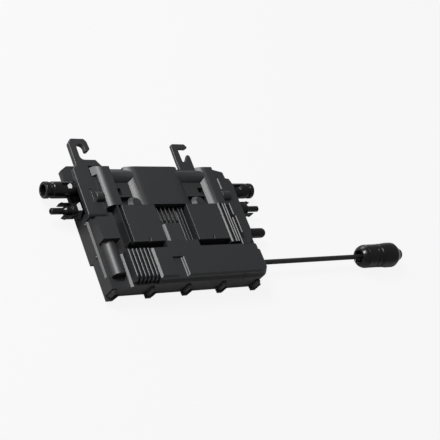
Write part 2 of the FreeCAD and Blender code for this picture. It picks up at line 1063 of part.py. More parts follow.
def bracket_slit(x, y):
    return box(x, x + slit_width, y, y + slit_length, bracket_face - slit_depth, bracket_face + boss_radius + 1)


def right_plate(gap):
    right = housing_length
    low = right_bracket_low
    high = right_bracket_high
    inner = right - right_bracket_width - gap
    root = right_hump_right - gap
    return [
        (right - 9 + gap, low - gap),
        (right - 4 + gap, low + 6.9),
        (right + gap, low + 21.1),
        (right + gap, high - 23.0),
        (right - 2.4 + gap, high - 15.5),
        (right - 7.7 + gap, high - 14.7),
        (right - 8.6 + gap, high - 5.8),
        (right - right_hump_inset + 3, high - 0.7 + gap),
        (root, high + gap),
        (root, hump_low - gap),
        (inner, hump_low - gap),
        (inner, low - gap),
    ]


def right_bracket():
    plate = prism(right_plate(0), bracket_back, bracket_face)
    boss = bracket_boss(right_boss_x, right_boss_y, right_boss_length)
    shape = joined([plate, boss])
    shape = shape.cut(bracket_slit(right_boss_x + 2.0, right_boss_y + 9.0))
    for x, y in right_bracket_screws():
        shape = shape.cut(rod(x, y, bracket_back - 1, bracket_face - 1.5, screw_radius))
    return shape


def right_bracket_screws():
    x = housing_length - wall - 8.0
    return [(x, right_bracket_low + 12), (x, right_bay_low - 8)]


def right_hook(gap):
    top = right_hook_reach
    left = right_hook_left
    neck = left + right_hook_arm
    arm = top - right_hook_beam
    finger = right_hook_finger
    throat = right_hook_throat
    corners = [
        (left - gap, right_hook_root - gap),
        (finger + gap, right_hook_root - gap),
        (finger + gap, right_hook_finger_top, 3.0),
        (finger - 4.2, right_hook_finger_top, 2.0),
        (finger - 11.0, throat),
        (neck + 0.4, throat),
        (neck, arm, 1.5),
        (neck + 11.4, arm),
        (neck + 15.9, arm + 2.4),
        (neck + 12.9, top),
        (left + 3.7, top),
        (left + 0.7, top - 2.0),
        (left - gap, throat),
    ]
    return prism(corners, bracket_back, bracket_face + gap)


def right_hook_bracket():
    # The part that stands clear of the housing is thinner than its foot.
    under = box(
        right_hook_left - 1,
        right_hook_left + right_hook_arm + 17,
        housing_depth + bracket_clearance,
        right_hook_reach + 1,
        bracket_back - 1,
        bracket_face - right_hook_thickness,
    )
    shape = right_hook(0).cut(under)
    for x, y in right_hook_screws():
        shape = shape.cut(rod(x, y, bracket_back - 1, bracket_face - 1.5, screw_radius))
    return shape


def right_hook_screws():
    y = housing_depth - wall - screw_head_radius - 0.4
    return [(right_hook_left + 5.6, y), (right_hook_finger - 5.4, y)]


def bracket_screws():
    screws = []
    for x, y in left_bracket_screws() + right_bracket_screws() + right_hook_screws():
        head = rod(x, y, room_height - screw_head_height, room_height, screw_head_radius)
        shank = rod(x, y, room_height, bracket_face - 1.5, screw_radius)
        screws.append(joined([head, shank]))
    return Part.makeCompound(screws)


def side_ribs():
    # A wide rib beside the lid, two narrow ones, and three short ones.
    first = side_rib_first
    low = lid_low - 4
    high = hump_low + 1
    middle = low + side_rib_split
    places = [
        (first, wide_rib_width, low, high),
        (first + side_rib_pitch + wide_rib_width, side_rib_width, low, high),
        (first + 2 * side_rib_pitch + wide_rib_width, side_rib_width, low, high),
        (first + short_rib_places[0], side_rib_width, lower_block_top - 1, middle),
        (first + short_rib_places[1], side_rib_width, middle + 4, high),
        (first + short_rib_places[2], side_rib_width, low + short_rib_start, middle + 2),
    ]
    ribs = []
    for left, width, start, end in places:
        bevel = width / 2
        corners = [
            (left, seam_height),
            (left, front_height - bevel * fin_bevel_drop / fin_bevel),
            (left + bevel, front_height),
            (left + width, front_height),
            (left + width, seam_height),
        ]
        ribs.append(along_y(corners, start, end))
    return ribs


def hump_room_left():
    run = front_height - mid_hump_radius * (1 - cos(pi / 4)) - recess_floor
    return mid_hump_foot + run + mid_hump_radius * sin(pi / 4)


def hump_room_right():
    return mid_hump_right - mid_hump_radius * sin(pi / 4)


def hump_room_depth():
    return hump_low + front_wall, housing_depth - wall - 2 * post_radius - 1


def upper_rooms():
    # Hollows above the main room: under the bar and under the middle hump.
    bar = box(
        fins_right + fin_end_bevel + front_wall,
        housing_length - corner_round,
        lower_block_lip + wall,
        lower_block_top - front_wall,
        room_height - 1,
        front_height - scoop_depth - front_wall,
    )
    hump_room = box(
        hump_room_left(),
        hump_room_right(),
        *hump_room_depth(),
        room_height - 1,
        front_height - front_wall,
    )
    return [bar, hump_room]


def front_cover():
    base = prism(plan(0), seam_height, base_height)
    parts = [base, lower_block(), left_block(), shelf_roll()]
    parts.append(box(bridge_left, bridge_right, lower_block_top - 1, lid_low, seam_height, front_height))
    for left in (left_lid_left, right_lid_left):
        parts.append(lid_well(left))
    parts.append(box(rib_left, rib_left + rib_width, lid_low, hump_low + 1, seam_height, front_height))
    parts.append(hump(left_hump_foot, left_hump_right, left_hump_radius, 0, bracket_face))
    parts.append(hump(mid_hump_foot, mid_hump_right, mid_hump_radius, mid_hump_radius, recess_floor))
    parts.append(hump(right_hump_foot, right_hump_right, right_hump_radius, 0, recess_floor))
    parts.append(recess_slab(left_hump_right - 3, mid_hump_foot + 3, left_window))
    parts.append(recess_slab(mid_hump_right - 3, right_hump_foot + 3, right_window))
    parts.append(cross_roll(left_hump_right - 5, mid_hump_foot + 14))
    parts.append(cross_roll(mid_hump_right - 8, right_hump_foot + 9))
    parts += side_ribs()
    parts += [lug_boss(right) for right in lug_places()]
    parts += [lid_bump(left) for left in (left_lid_left, right_lid_left)]
    shape = joined(parts)
    shape = shape.cut(wall_step())
    shape = shape.cut(roll_recess())
    shape = shape.cut(left_seat())
    shape = shape.cut(prism(right_plate(bracket_clearance), bracket_back, front_height + 2))
    shape = shape.cut(right_hook(bracket_clearance))
    shape = shape.cut(prism(plan(wall), seam_height - 1, room_height))
    for room in upper_rooms():
        shape = shape.cut(room)
    for left in (left_lid_left, right_lid_left):
        shape = shape.cut(lid_well_cut(left))
    fittings = [pedestal()]
    for x, y in upper_screws():
        fittings.append(rod(x, y, seam_height, room_height + 0.5, post_radius))
    shape = joined([shape] + fittings)
    for x, y in lower_screws() + upper_screws():
        shape = shape.cut(rod(x, y, seam_height - 1, pad_height + screw_length, screw_radius))
    for x, y in left_bracket_screws() + right_bracket_screws() + right_hook_screws():
        shape = shape.cut(rod(x, y, room_height - 1, bracket_back + 1, screw_radius))
    for hole in wall_holes():
        shape = shape.cut(hole)
    return shape


def wall_holes():
    # Round holes in the walls for the couplers, the aerial and the lead.
    fat = fat_thread_radius
    probe = probe_thread_radius
    holes = []
    for y, radius in ((left_fat_y, fat), (left_probe_y, probe)):
        start = Vector(bay_wall_left - 1, y, coupler_z)
        holes.append(Part.makeCylinder(radius, wall + 2, start, Vector(1, 0, 0)))
    for y, radius in ((right_fat_y, fat), (right_probe_y, probe)):
        start = Vector(bay_wall_right - wall - 1, y, coupler_z)
        holes.append(Part.makeCylinder(radius, wall + 2, start, Vector(1, 0, 0)))
    aerial = Vector(housing_length - wall - 1, aerial_y, coupler_z)
    holes.append(Part.makeCylinder(aerial_neck_radius, wall + 2, aerial, Vector(1, 0, 0)))
    lead = Vector(housing_length - wall - 1, lead_y, coupler_radius)
    holes.append(Part.makeCylinder(grommet_radius, wall + 2, lead, Vector(1, 0, 0)))
    return holes


def switch_place():
    # Centre of the row of power switches, under the pocket.
    x = (left_lid_right + right_lid_left) / 2
    return x, lid_low + lid_depth / 2


def pedestal():
    # Block under the pocket that takes the heat of the switches.
    x, y = switch_place()
    half = switch_pitch * switch_count / 2
    top = board_top + switch_height + pedestal_gap
    return box(x - half, x + half, y - switch_width / 2, y + switch_width / 2, top, room_height + 0.5)


def lid(left):
    plate = box(left, left + lid_width, lid_low, lid_high, lid_seat, front_height)
    x = left + lid_width / 2 - 1.4
    notch = box(
        x,
        x + lid_notch_width,
        lid_low - 1,
        lid_low + lid_notch_length,
        lid_seat - 1,
        front_height + 1,
    )
    return plate.cut(notch)


def heat_sink():
    left = left_lid_right + sink_clearance
    right = right_lid_left - sink_clearance
    low = lid_low + sink_clearance
    high = hump_low - sink_clearance
    base = box(left, right, low, high, base_height, base_height + sink_base)
    parts = [base]
    for i in range(short_fin_count):
        x = left_lid_right + pocket * (short_fin_start + i * short_fin_share)
        parts.append(box(x, x + sink_fin_width, high - short_fin_length, high, base_height, sink_fin_top))
    for i in range(2):
        x = right_lid_left - long_fin_inset + i * long_fin_pitch
        parts.append(box(x, x + sink_fin_width, low, high, base_height, sink_fin_top))
    block_left = left_lid_right + pocket * sink_block_start
    block_right = block_left + pocket * sink_block_share
    corners = [
        (block_left - sink_block_bevel, base_height),
        (block_right, base_height),
        (block_right, sink_fin_top),
        (block_left, sink_fin_top),
    ]
    parts.append(along_y(corners, low, low + sink_block_depth))
    return joined(parts)


def fat_shell():
    # Socket half of a coupler: outer sleeve with an open end.
    bore_start = fat_length - fat_bore_clear
    chamber_start = bore_start - fat_chamber
    groove_end = fat_groove + fat_groove_width
    shell = turned([
        (-fat_thread, pin_body_radius),
        (-fat_thread, fat_thread_radius),
        (0, fat_thread_radius),
        (0, flange_radius),
        (5.0, flange_radius),
        (5.0, fat_waist),
        (fat_waist_end, fat_waist),
        (fat_waist_end + 0.4, fat_radius),
        (fat_cone, fat_radius),
        (fat_cone + 1.2, fat_radius - 0.7),
        (fat_groove, fat_radius - 0.8),
        (fat_groove, fat_groove_radius),
        (groove_end, fat_groove_radius),
        (groove_end, fat_radius),
        (fat_length - 1.0, fat_radius),
        (fat_length, fat_radius - 1.0),
        (fat_length, fat_bore),
        (bore_start, fat_bore),
        (bore_start, fat_chamber_radius),
        (chamber_start, fat_chamber_radius),
        (chamber_start, pin_body_radius),
    ])
    slope = pocket_ramp / (fat_radius - pocket_floor)
    half = pocket_width / 2
    for sign in (1, -1):
        side = [
            (pocket_start, sign * pocket_floor),
            (pocket_end, sign * pocket_floor),
            (pocket_end, sign * (fat_radius + 1)),
            (pocket_start - pocket_ramp - slope, sign * (fat_radius + 1)),
        ]
        shell = shell.cut(along_y(side, -half, half))
    return shell


def fat_pin():
    # Contact that runs through the socket, with a bare tail inside.
    bore_start = fat_length - fat_bore_clear
    chamber_start = bore_start - fat_chamber
    return turned([
        (-fat_thread - pin_tail, 0),
        (-fat_thread - pin_tail, pin_radius),
        (-fat_thread, pin_radius),
        (-fat_thread, pin_body_radius),
        (chamber_start, pin_body_radius),
        (chamber_start, pin_radius + 1.6),
        (bore_start, pin_radius + 1.6),
        (bore_start, 0),
    ])


def plug_collar():
    # Six sided grip of the plug and the faceted taper in front of it.
    start = collar_start
    taper = start + collar_length
    end = taper + collar_taper
    grip = hexagon(collar_across, start, taper)
    rings = []
    for x, across in ((taper, collar_across), (end, probe_body_radius)):
        radius = across / cos(radians(30))
        corners = [Vector(x, radius * cos(radians(60 * i)), radius * sin(radians(60 * i))) for i in range(7)]
        rings.append(Part.makePolygon(corners))
    return [grip, Part.makeLoft(rings, True, True)]


def plug_body():
    base = collar_start + collar_length + collar_taper
    body = turned([
        (-probe_thread, pin_radius),
        (-probe_thread, probe_thread_radius),
        (0, probe_thread_radius),
        (0, flange_radius),
        (4.5, flange_radius),
        (4.5, probe_body_radius),
        (29.0, probe_body_radius),
        (29.0, sleeve_base_radius),
        (sleeve_base_end, sleeve_base_radius),
        (sleeve_base_end + sleeve_cone, probe_radius),
        (probe_length - sleeve_tip, probe_radius),
        (probe_length, probe_radius - 1.0),
        (probe_length, pin_radius),
    ])
    bore = Part.makeCylinder(pin_radius, base + 2, Vector(collar_start - 1, 0, 0), Vector(1, 0, 0))
    parts = [body] + [piece.cut(bore) for piece in plug_collar()]
    for sign in (1, -1):
        outer = finger_spread
        inner = finger_spread - finger_thickness
        root = probe_body_radius - 1.0
        corners = [
            (24.0, sign * root),
            (29.0, sign * inner),
            (42.0, sign * inner),
            (43.0, sign * (inner + 0.6)),
            (38.0, sign * (outer + 0.9)),
            (36.5, sign * outer),
            (27.5, sign * outer),
            (21.0, sign * root),
        ]
        parts.append(prism(corners, -finger_width / 2, finger_width / 2))
    return joined(parts)


def plug_pin():
    start = -probe_thread - pin_tail
    return Part.makeCylinder(pin_radius, probe_length - 5.0 - start, Vector(start, 0, 0), Vector(1, 0, 0))


def coupler_nut(inner, across):
    # Nut drawn up against the washer inside the wall.
    low = -wall - washer_thickness - nut_thickness
    blank = hexagon(across, low, low + nut_thickness)
    return blank.cut(Part.makeCylinder(inner, nut_thickness + 2, Vector(low - 1, 0, 0), Vector(1, 0, 0)))


def coupler_washer(inner, outer):
    low = -wall - washer_thickness
    return turned([(low, inner), (low, outer), (-wall, outer), (-wall, inner)])


def aerial_cap():
    # Round ended cap, closed at its tip, with a neck through the wall.
    r = aerial_radius
    start = -wall - board_clearance + 0.2
    points = [
        Vector(start, 0, aerial_bore),
        Vector(start, 0, aerial_neck_radius),
        Vector(0, 0, aerial_neck_radius),
        Vector(0, 0, r),
        Vector(aerial_length - r, 0, r),
    ]
    tip = Vector(aerial_length, 0, 0)
    centre = aerial_length - r
    bend = Vector(centre + r * cos(pi / 4), 0, r * sin(pi / 4))
    bore_end = aerial_length - r
    last = [tip, Vector(bore_end, 0, 0), Vector(bore_end, 0, aerial_bore), points[0]]
    edges = [Part.LineSegment(a, b).toShape() for a, b in zip(points, points[1:])]
    edges.append(Part.Arc(points[-1], bend, tip).toShape())
    edges += [Part.LineSegment(a, b).toShape() for a, b in zip(last, last[1:])]
    return Part.Face(Part.Wire(edges)).revolve(Vector(0, 0, 0), Vector(1, 0, 0), 360)


def aerial_rod():
    start = -wall - aerial_tail
    return Part.makeCylinder(aerial_rod_radius, aerial_length - aerial_radius - start, Vector(start, 0, 0), Vector(1, 0, 0))


def lead_parts():
    # Everything on the output lead, along +x from the right wall.
    x = housing_length
    z = coupler_radius
    parts = {}
    inner_end = -wall - board_clearance + 0.2
    grommet = turned([
        (inner_end, lead_radius),
        (inner_end, grommet_radius),
        (0, grommet_radius),
        (0, grommet_flange_radius),
        (2.4, grommet_flange_radius - 0.8),
        (grommet_length, lead_radius + 1.2),
        (grommet_length, lead_radius),
    ])
    parts["ac_grommet"] = grommet
    lead_end = lead_straight + gland_recess_depth
    inside = -wall - lead_inside
    parts["ac_cable"] = Part.makeCylinder(lead_radius, lead_end - inside, Vector(inside, 0, 0), Vector(1, 0, 0))
    gland = lead_straight
    body = gland + gland_length
    parts["ac_gland_nut"] = turned([
        (gland, gland_recess_radius),
        (gland, gland_face_radius),
        (gland + 0.6, gland_dome_radius - 1.4),
        (gland + 1.8, gland_dome_radius - 0.4),
        (body, gland_dome_radius),
        (body, lead_radius),
        (gland + gland_recess_depth, lead_radius),
        (gland + gland_recess_depth, gland_recess_floor),
    ])
    ring = body + coupler_body_length
    parts["ac_body"] = turned([
        (body, 0),
        (body, gland_dome_radius),
        (body + coupler_bevel, coupler_body_radius),
        (ring, coupler_body_radius),
        (ring, 0),
    ])
    front = ring + coupler_ring_length
    groove = coupler_body_radius - coupler_groove_depth
    parts["ac_coupling_ring"] = turned([
        (ring, 0),
        (ring, groove),
        (ring + coupler_groove, groove),
        (ring + coupler_groove, coupler_body_radius),
        (front - coupler_groove, coupler_body_radius),
        (front - coupler_groove, groove - 0.4),
        (front, groove - 0.4),
        (front, 0),
    ])
    waist = front + coupler_waist_length
    swell = waist + coupler_swell
    nose = front + coupler_front_length
    end = nose + coupler_nose_length
    inner = coupler_nose_radius - coupler_shell
    seat = inner - insert_seat
    insert_start = nose - coupler_mouth
    insert_end = end - coupler_mouth
    shell = turned([
        (front, 0),
        (front, groove - 0.4),
        (front + coupler_bevel, coupler_body_radius + 0.2),
        (waist, coupler_body_radius + 0.3),
        (swell, coupler_radius),
        (nose, coupler_radius),
        (end, coupler_nose_radius),
        (end, inner),
        (insert_end, inner),
        (insert_end, seat),
        (insert_start, seat),
        (insert_start, 0),
    ])
    parts["ac_front_shell"] = shell
    insert_long = insert_end - insert_start
    insert = Part.makeCylinder(seat, insert_long, Vector(insert_start, 0, 0), Vector(1, 0, 0))
    contacts = []
    for i in range(contact_count):
        angle = radians(45 + 360 / contact_count * i)
        offset = seat * 0.55
        where = Vector(insert_end - contact_length, offset * cos(angle), offset * sin(angle))
        contacts.append(Part.makeCylinder(contact_radius, contact_length, where, Vector(1, 0, 0)))
    for contact in contacts:
        insert = insert.cut(contact)
    parts["ac_insert"] = insert
    parts["ac_contacts"] = Part.makeCompound(contacts)
    for shape in parts.values():
        shape.translate(Vector(x, lead_y, z))
    return parts


def circuit_board():
    corners = plan(wall + board_clearance)
    board = prism(corners, board_height, board_top)
    edge = box(-1, housing_length + 1, board_upper_edge(), housing_depth + 1, board_height - 1, board_top + 1)
    board = board.cut(edge)
    sides = (
        (-1, board_left, left_bay_low - wall - board_clearance),
        (board_right, housing_length + 1, right_bay_low - wall - board_clearance),
    )
    for low_x, high_x, low_y in sides:
        side = box(low_x, high_x, low_y, housing_depth + 1, board_height - 1, board_top + 1)
        board = board.cut(side)
    for x, y in board_posts():
        board = board.cut(rod(x, y, board_height - 1, board_top + 1, board_screw_radius))
    return board


def board_screws():
    screws = []
    for x, y in board_posts():
        head = rod(x, y, board_top, board_top + 1.6, board_screw_head)
        shank = rod(x, y, board_height - 5, board_top, board_screw_radius)
        screws.append(joined([head, shank]))
    return Part.makeCompound(screws)


def transformer_centre(left):
    return left + lid_width / 2, lid_low + lid_depth / 2


def core_height():
    return lid_seat - pad_thickness - board_top


def core_window(clear):
    # Ring shaped window of the core, around its round middle leg.
    low = board_top + core_plate + clear
    high = lid_seat - pad_thickness - core_plate - clear
    outer = rod(0, 0, low, high, coil_radius - clear)
    return outer.cut(rod(0, 0, low - 1, high + 1, core_leg_radius + clear))


def transformer_core(left):
    x, y = transformer_centre(left)
    half_x = core_length / 2
    half_y = core_width / 2
    core = box(-half_x, half_x, -half_y, half_y, board_top, board_top + core_height())
    core = core.cut(core_window(0))
    core.translate(Vector(x, y, 0))
    return core


def transformer_winding(left):
    x, y = transformer_centre(left)
    winding = core_window(core_clearance)
    winding.translate(Vector(x, y, 0))
    return winding


def lid_pads():
    pads = []
    for left in (left_lid_left, right_lid_left):
        x, y = transformer_centre(left)
        half_x = core_length / 2 - 2
        half_y = core_width / 2 - 2
        pads.append(box(x - half_x, x + half_x, y - half_y, y + half_y, lid_seat - pad_thickness, lid_seat))
    return Part.makeCompound(pads)


def capacitors():
    # Storage capacitors lying in a row under the bar.
    row = []
    for i in range(capacitor_count):
        x = capacitor_first + i * (capacitor_length + capacitor_gap)
        start = Vector(x, capacitor_y, board_top + capacitor_radius)
        can = Part.makeCylinder(capacitor_radius, capacitor_length, start, Vector(1, 0, 0))
        groove = Part.makeTorus(capacitor_radius, 0.7, start + Vector(3.0, 0, 0), Vector(1, 0, 0))
        row.append(can.cut(groove))
    return Part.makeCompound(row)


def output_choke():
    ring = rod(choke_x, choke_y, board_top, board_top + choke_height, choke_radius)
    return ring.cut(rod(choke_x, choke_y, board_top - 1, board_top + choke_height + 1, choke_bore))


def film_capacitor():
    # Stands along the left side of the room under the middle hump.
    left = hump_room_left() + film_gap
    low, high = hump_room_depth()
    length = (high - low) * film_share
    y = (low + high) / 2
    return box(left, left + film_width, y - length / 2, y + length / 2, board_top, board_top + film_height)


def relay():
    left = hump_room_left() + film_gap + film_width + relay_gap
    length = (hump_room_right() - left) * relay_share
    y = board_upper_edge() - relay_inset
    half = relay_width / 2
    return box(left, left + length, y - half, y + half, board_top, board_top + relay_height)


def switch_boxes(low, high):
    x, y = switch_place()
    first = x - switch_pitch * (switch_count - 1) / 2
    boxes = []
    for i in range(switch_count):
        middle = first + i * switch_pitch
        boxes.append(
            box(
                middle - switch_length / 2,
                middle + switch_length / 2,
                y - switch_width / 2,
                y + switch_width / 2,
                low,
                high,
            )
        )
    return boxes


def power_switches():
    return Part.makeCompound(switch_boxes(board_top, board_top + switch_height))


def heat_pads():
    low = board_top + switch_height
    return Part.makeCompound(switch_boxes(low, low + pedestal_gap))


def dc_terminals():
    # Clamps on the board around the bare tails of the four contacts.
    clamps = []
    places = []
    for thread, y in ((fat_thread, left_fat_y), (probe_thread, left_probe_y)):
        places.append((bay_wall_left + thread + pin_tail - terminal_length, y))
    for thread, y in ((fat_thread, right_fat_y), (probe_thread, right_probe_y)):
        places.append((bay_wall_right - thread - pin_tail, y))
    for x, y in places:
        half = terminal_width / 2
        clamp = box(x, x + terminal_length, y - half, y + half, board_top, board_top + terminal_height)
        tail = Part.makeCylinder(pin_radius, terminal_length + 2, Vector(x - 1, y, coupler_z), Vector(1, 0, 0))
        clamps.append(clamp.cut(tail))
    return Part.makeCompound(clamps)


def ac_terminal():
    # Clamp on the board that grips the end of the lead.
    x = housing_length - wall - lead_inside
    half = terminal_width / 2 + 1.2
    top = coupler_radius + lead_radius + 1.0
    clamp = box(x - 3, x + terminal_length - 2, lead_y - half, lead_y + half, board_top, top)
    start = Vector(x, lead_y, coupler_radius)
    return clamp.cut(Part.makeCylinder(lead_radius, terminal_length + 2, start, Vector(1, 0, 0)))


def wall_plugs():
    # Round plugs in the left wall.
    plugs = []
    places = ((left_bay_low - upper_plug_drop, upper_plug_z), (lower_plug_y, lower_plug_z))
    for y, z in places:
        start = Vector(-plug_head, y, z)
        head = Part.makeCone(plug_radius - 0.8, plug_radius, plug_head, start, Vector(1, 0, 0))
        plugs.append(head)
    return Part.makeCompound(plugs)


def build():
    nodes = {}
    nodes["rear_tray"] = rear_tray()
    nodes["front_cover"] = front_cover()
    nodes["housing_gasket"] = gasket_ring()
    nodes["housing_screws"] = housing_screws()
    nodes["left_bracket"] = left_bracket()
    nodes["right_bracket"] = right_bracket()
    nodes["right_hook_bracket"] = right_hook_bracket()
    nodes["bracket_screws"] = bracket_screws()
    nodes["left_lid"] = lid(left_lid_left)
    nodes["right_lid"] = lid(right_lid_left)
    nodes["heat_sink"] = heat_sink()
    nodes["wall_plugs"] = wall_plugs()
    nodes["circuit_board"] = circuit_board()
    nodes["board_screws"] = board_screws()
    nodes["left_transformer_core"] = transformer_core(left_lid_left)
    nodes["left_transformer_winding"] = transformer_winding(left_lid_left)
    nodes["right_transformer_core"] = transformer_core(right_lid_left)
    nodes["right_transformer_winding"] = transformer_winding(right_lid_left)
    nodes["lid_pads"] = lid_pads()
    nodes["storage_capacitors"] = capacitors()
    nodes["output_choke"] = output_choke()
    nodes["film_capacitor"] = film_capacitor()
    nodes["grid_relay"] = relay()
    nodes["power_switches"] = power_switches()
    nodes["heat_pads"] = heat_pads()
    nodes["dc_terminals"] = dc_terminals()
    nodes["ac_terminal"] = ac_terminal()
    for side, wall_x, fat_y, probe_y in (
        ("left", bay_wall_left, left_fat_y, left_probe_y),
        ("right", bay_wall_right, right_fat_y, right_probe_y),
    ):
        pieces = {
            "socket": (fat_shell(), fat_y),
            "socket_contact": (fat_pin(), fat_y),
            "socket_nut": (coupler_nut(fat_thread_radius, fat_nut_across), fat_y),
            "socket_washer": (coupler_washer(fat_thread_radius, fat_nut_across / 2 + washer_overhang), fat_y),
            "plug": (plug_body(), probe_y),
            "plug_contact": (plug_pin(), probe_y),
            "plug_nut": (coupler_nut(probe_thread_radius, probe_nut_across), probe_y),
            "plug_washer": (coupler_washer(probe_thread_radius, probe_nut_across / 2 + washer_overhang), probe_y),
        }
        for name, (shape, y) in pieces.items():
            nodes[side + "_" + name] = put(shape, side, y, coupler_z, wall_x)
    nodes["aerial_cap"] = put(aerial_cap(), "right", aerial_y, coupler_z, housing_length)
    nodes["aerial_rod"] = put(aerial_rod(), "right", aerial_y, coupler_z, housing_length)
    nodes.update(lead_parts())
    return nodes


def main():
    os.makedirs("parts", exist_ok=True)
    nodes = build()
    middle = Vector(-housing_length / 2, (lug_reach - left_hook_reach) / 2, 0)
    for name, shape in nodes.items():
        shape.translate(middle)
        shape.exportStep("parts/" + name + ".step")
        print(name, len(shape.Solids), shape.isValid(), round(shape.Volume, 1))


main()
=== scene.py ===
from math import cos, pi, radians, sin, tau
import bmesh
import bpy
from mathutils import Matrix, Vector


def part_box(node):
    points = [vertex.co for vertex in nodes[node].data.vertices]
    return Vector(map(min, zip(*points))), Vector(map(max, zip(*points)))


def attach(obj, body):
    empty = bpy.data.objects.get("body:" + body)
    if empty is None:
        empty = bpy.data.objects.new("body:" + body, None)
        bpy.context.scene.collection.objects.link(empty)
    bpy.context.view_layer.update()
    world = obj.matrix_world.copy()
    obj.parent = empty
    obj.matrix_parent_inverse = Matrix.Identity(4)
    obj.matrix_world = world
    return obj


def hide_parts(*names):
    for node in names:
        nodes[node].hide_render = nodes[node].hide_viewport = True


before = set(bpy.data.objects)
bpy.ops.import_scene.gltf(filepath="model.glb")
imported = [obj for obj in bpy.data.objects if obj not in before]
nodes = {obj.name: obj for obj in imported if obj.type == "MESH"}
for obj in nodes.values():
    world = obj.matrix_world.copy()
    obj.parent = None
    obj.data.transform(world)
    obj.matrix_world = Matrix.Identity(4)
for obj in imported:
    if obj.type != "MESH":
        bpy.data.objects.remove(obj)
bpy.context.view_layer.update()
scene = bpy.context.scene
mm = 0.001
slack = 0.03  # mm: how far off a corner may be and still be the one that a dictionary names

# The viewing angle: columns of the camera's matrix, its place and its lens
camera = {
    "place": (-0.7908, -0.5660, 0.9585),
    "right": (0.78190712, -0.3415994, 0.52147015),
    "up": (0.02157276, 0.85082635, 0.52500394),
    "back": (-0.62302157, -0.39925477, 0.67263642),
    "lens": 93.62,
    "sensor": 36.0,
    "clipEnd": 50.0,
}


def makeCamera(values):
    data = bpy.data.cameras.new("camera")
    data.lens = values["lens"]
    data.sensor_width = values["sensor"]
    data.clip_end = values["clipEnd"]
    item = bpy.data.objects.new("camera", data)
    scene.collection.objects.link(item)
    right, up, back, place = (Vector(values[name]) for name in ("right", "up", "back", "place"))
    rows = [(right[i], up[i], back[i], place[i]) for i in range(3)]
    item.matrix_world = Matrix(rows + [(0, 0, 0, 1)])
    scene.camera = item


makeCamera(camera)
scene.view_settings.view_transform = "Standard"
print("camera ready")


def mathNode(tree, operation, first, second):
    # Works in shader and geometry trees; each side is a number or a socket
    node = tree.nodes.new("ShaderNodeMath")
    node.operation = operation
    for i, value in enumerate((first, second)):
        if isinstance(value, (int, float)):
            node.inputs[i].default_value = value
        else:
            tree.links.new(value, node.inputs[i])
    return node.outputs[0]


# Soft studio light: a main lamp that catches the slopes facing left, three fills and a pale world
lights = {
    "aim": (0.0, 0.0, 0.02),
    "lamps": [
        # name, direction from the aim, distance, size, watts, mirrored in gloss
        ("mainLamp", (-0.55, 0.40, 0.74), 1.8, 0.80, 40.0, True),
        ("leftLamp", (-0.95, 0.10, 0.30), 2.2, 1.4, 8.0, True),
        ("rightLamp", (0.95, -0.05, 0.30), 2.2, 1.0, 10.0, False),
        ("backLamp", (0.10, 0.97, 0.22), 2.2, 1.2, 14.0, True),
    ],
    "worldColor": (0.95, 0.97, 1.0, 1.0),
    "worldStrength": 0.12,
    "backdrop": 0.93,  # what the camera sees
    "mirrored": 0.09,  # share of it that gloss and glass see
}


def makeLights(values):
    aim = Vector(values["aim"])
    for name, direction, distance, size, watts, mirrored in values["lamps"]:
        data = bpy.data.lights.new(name, "AREA")
        data.shape = "DISK"
        data.size = size
        data.energy = watts
        item = bpy.data.objects.new(name, data)
        scene.collection.objects.link(item)
        item.visible_glossy = mirrored
        way = Vector(direction).normalized()
        item.location = aim + way * distance
        item.rotation_euler = way.to_track_quat("Z", "Y").to_euler()


def backdropShare(tree, direct, mirrored):
    # How much of the pale backdrop a ray meets: straight from the camera, or by gloss and glass
    rays = tree.nodes.new("ShaderNodeLightPath").outputs
    seen = mathNode(tree, "MULTIPLY", rays["Is Camera Ray"], direct)
    gloss = mathNode(tree, "MAXIMUM", rays["Is Glossy Ray"], rays["Is Transmission Ray"])
    return mathNode(tree, "MAXIMUM", seen, mathNode(tree, "MULTIPLY", gloss, mirrored))


def makeWorld(values):
    world = bpy.data.worlds.new("studioWorld")
    world.use_nodes = True
    tree = world.node_tree
    tree.nodes.clear()
    plain = tree.nodes.new("ShaderNodeBackground")
    seen = tree.nodes.new("ShaderNodeBackground")
    mix = tree.nodes.new("ShaderNodeMixShader")
    out = tree.nodes.new("ShaderNodeOutputWorld")
    plain.inputs["Color"].default_value = values["worldColor"]
    plain.inputs["Strength"].default_value = values["worldStrength"]
    seen.inputs["Color"].default_value = (1, 1, 1, 1)
    seen.inputs["Strength"].default_value = values["backdrop"]
    tree.links.new(backdropShare(tree, 1.0, values["mirrored"]), mix.inputs[0])
    tree.links.new(plain.outputs[0], mix.inputs[1])
    tree.links.new(seen.outputs[0], mix.inputs[2])
    tree.links.new(mix.outputs[0], out.inputs["Surface"])
    scene.world = world


# A square floor: the camera sees most of it as backdrop, and the share left over takes the shadow
floorValues = {"half": 4.0, "tone": 0.42, "glow": 0.99, "share": 0.90, "mirrored": 0.05}


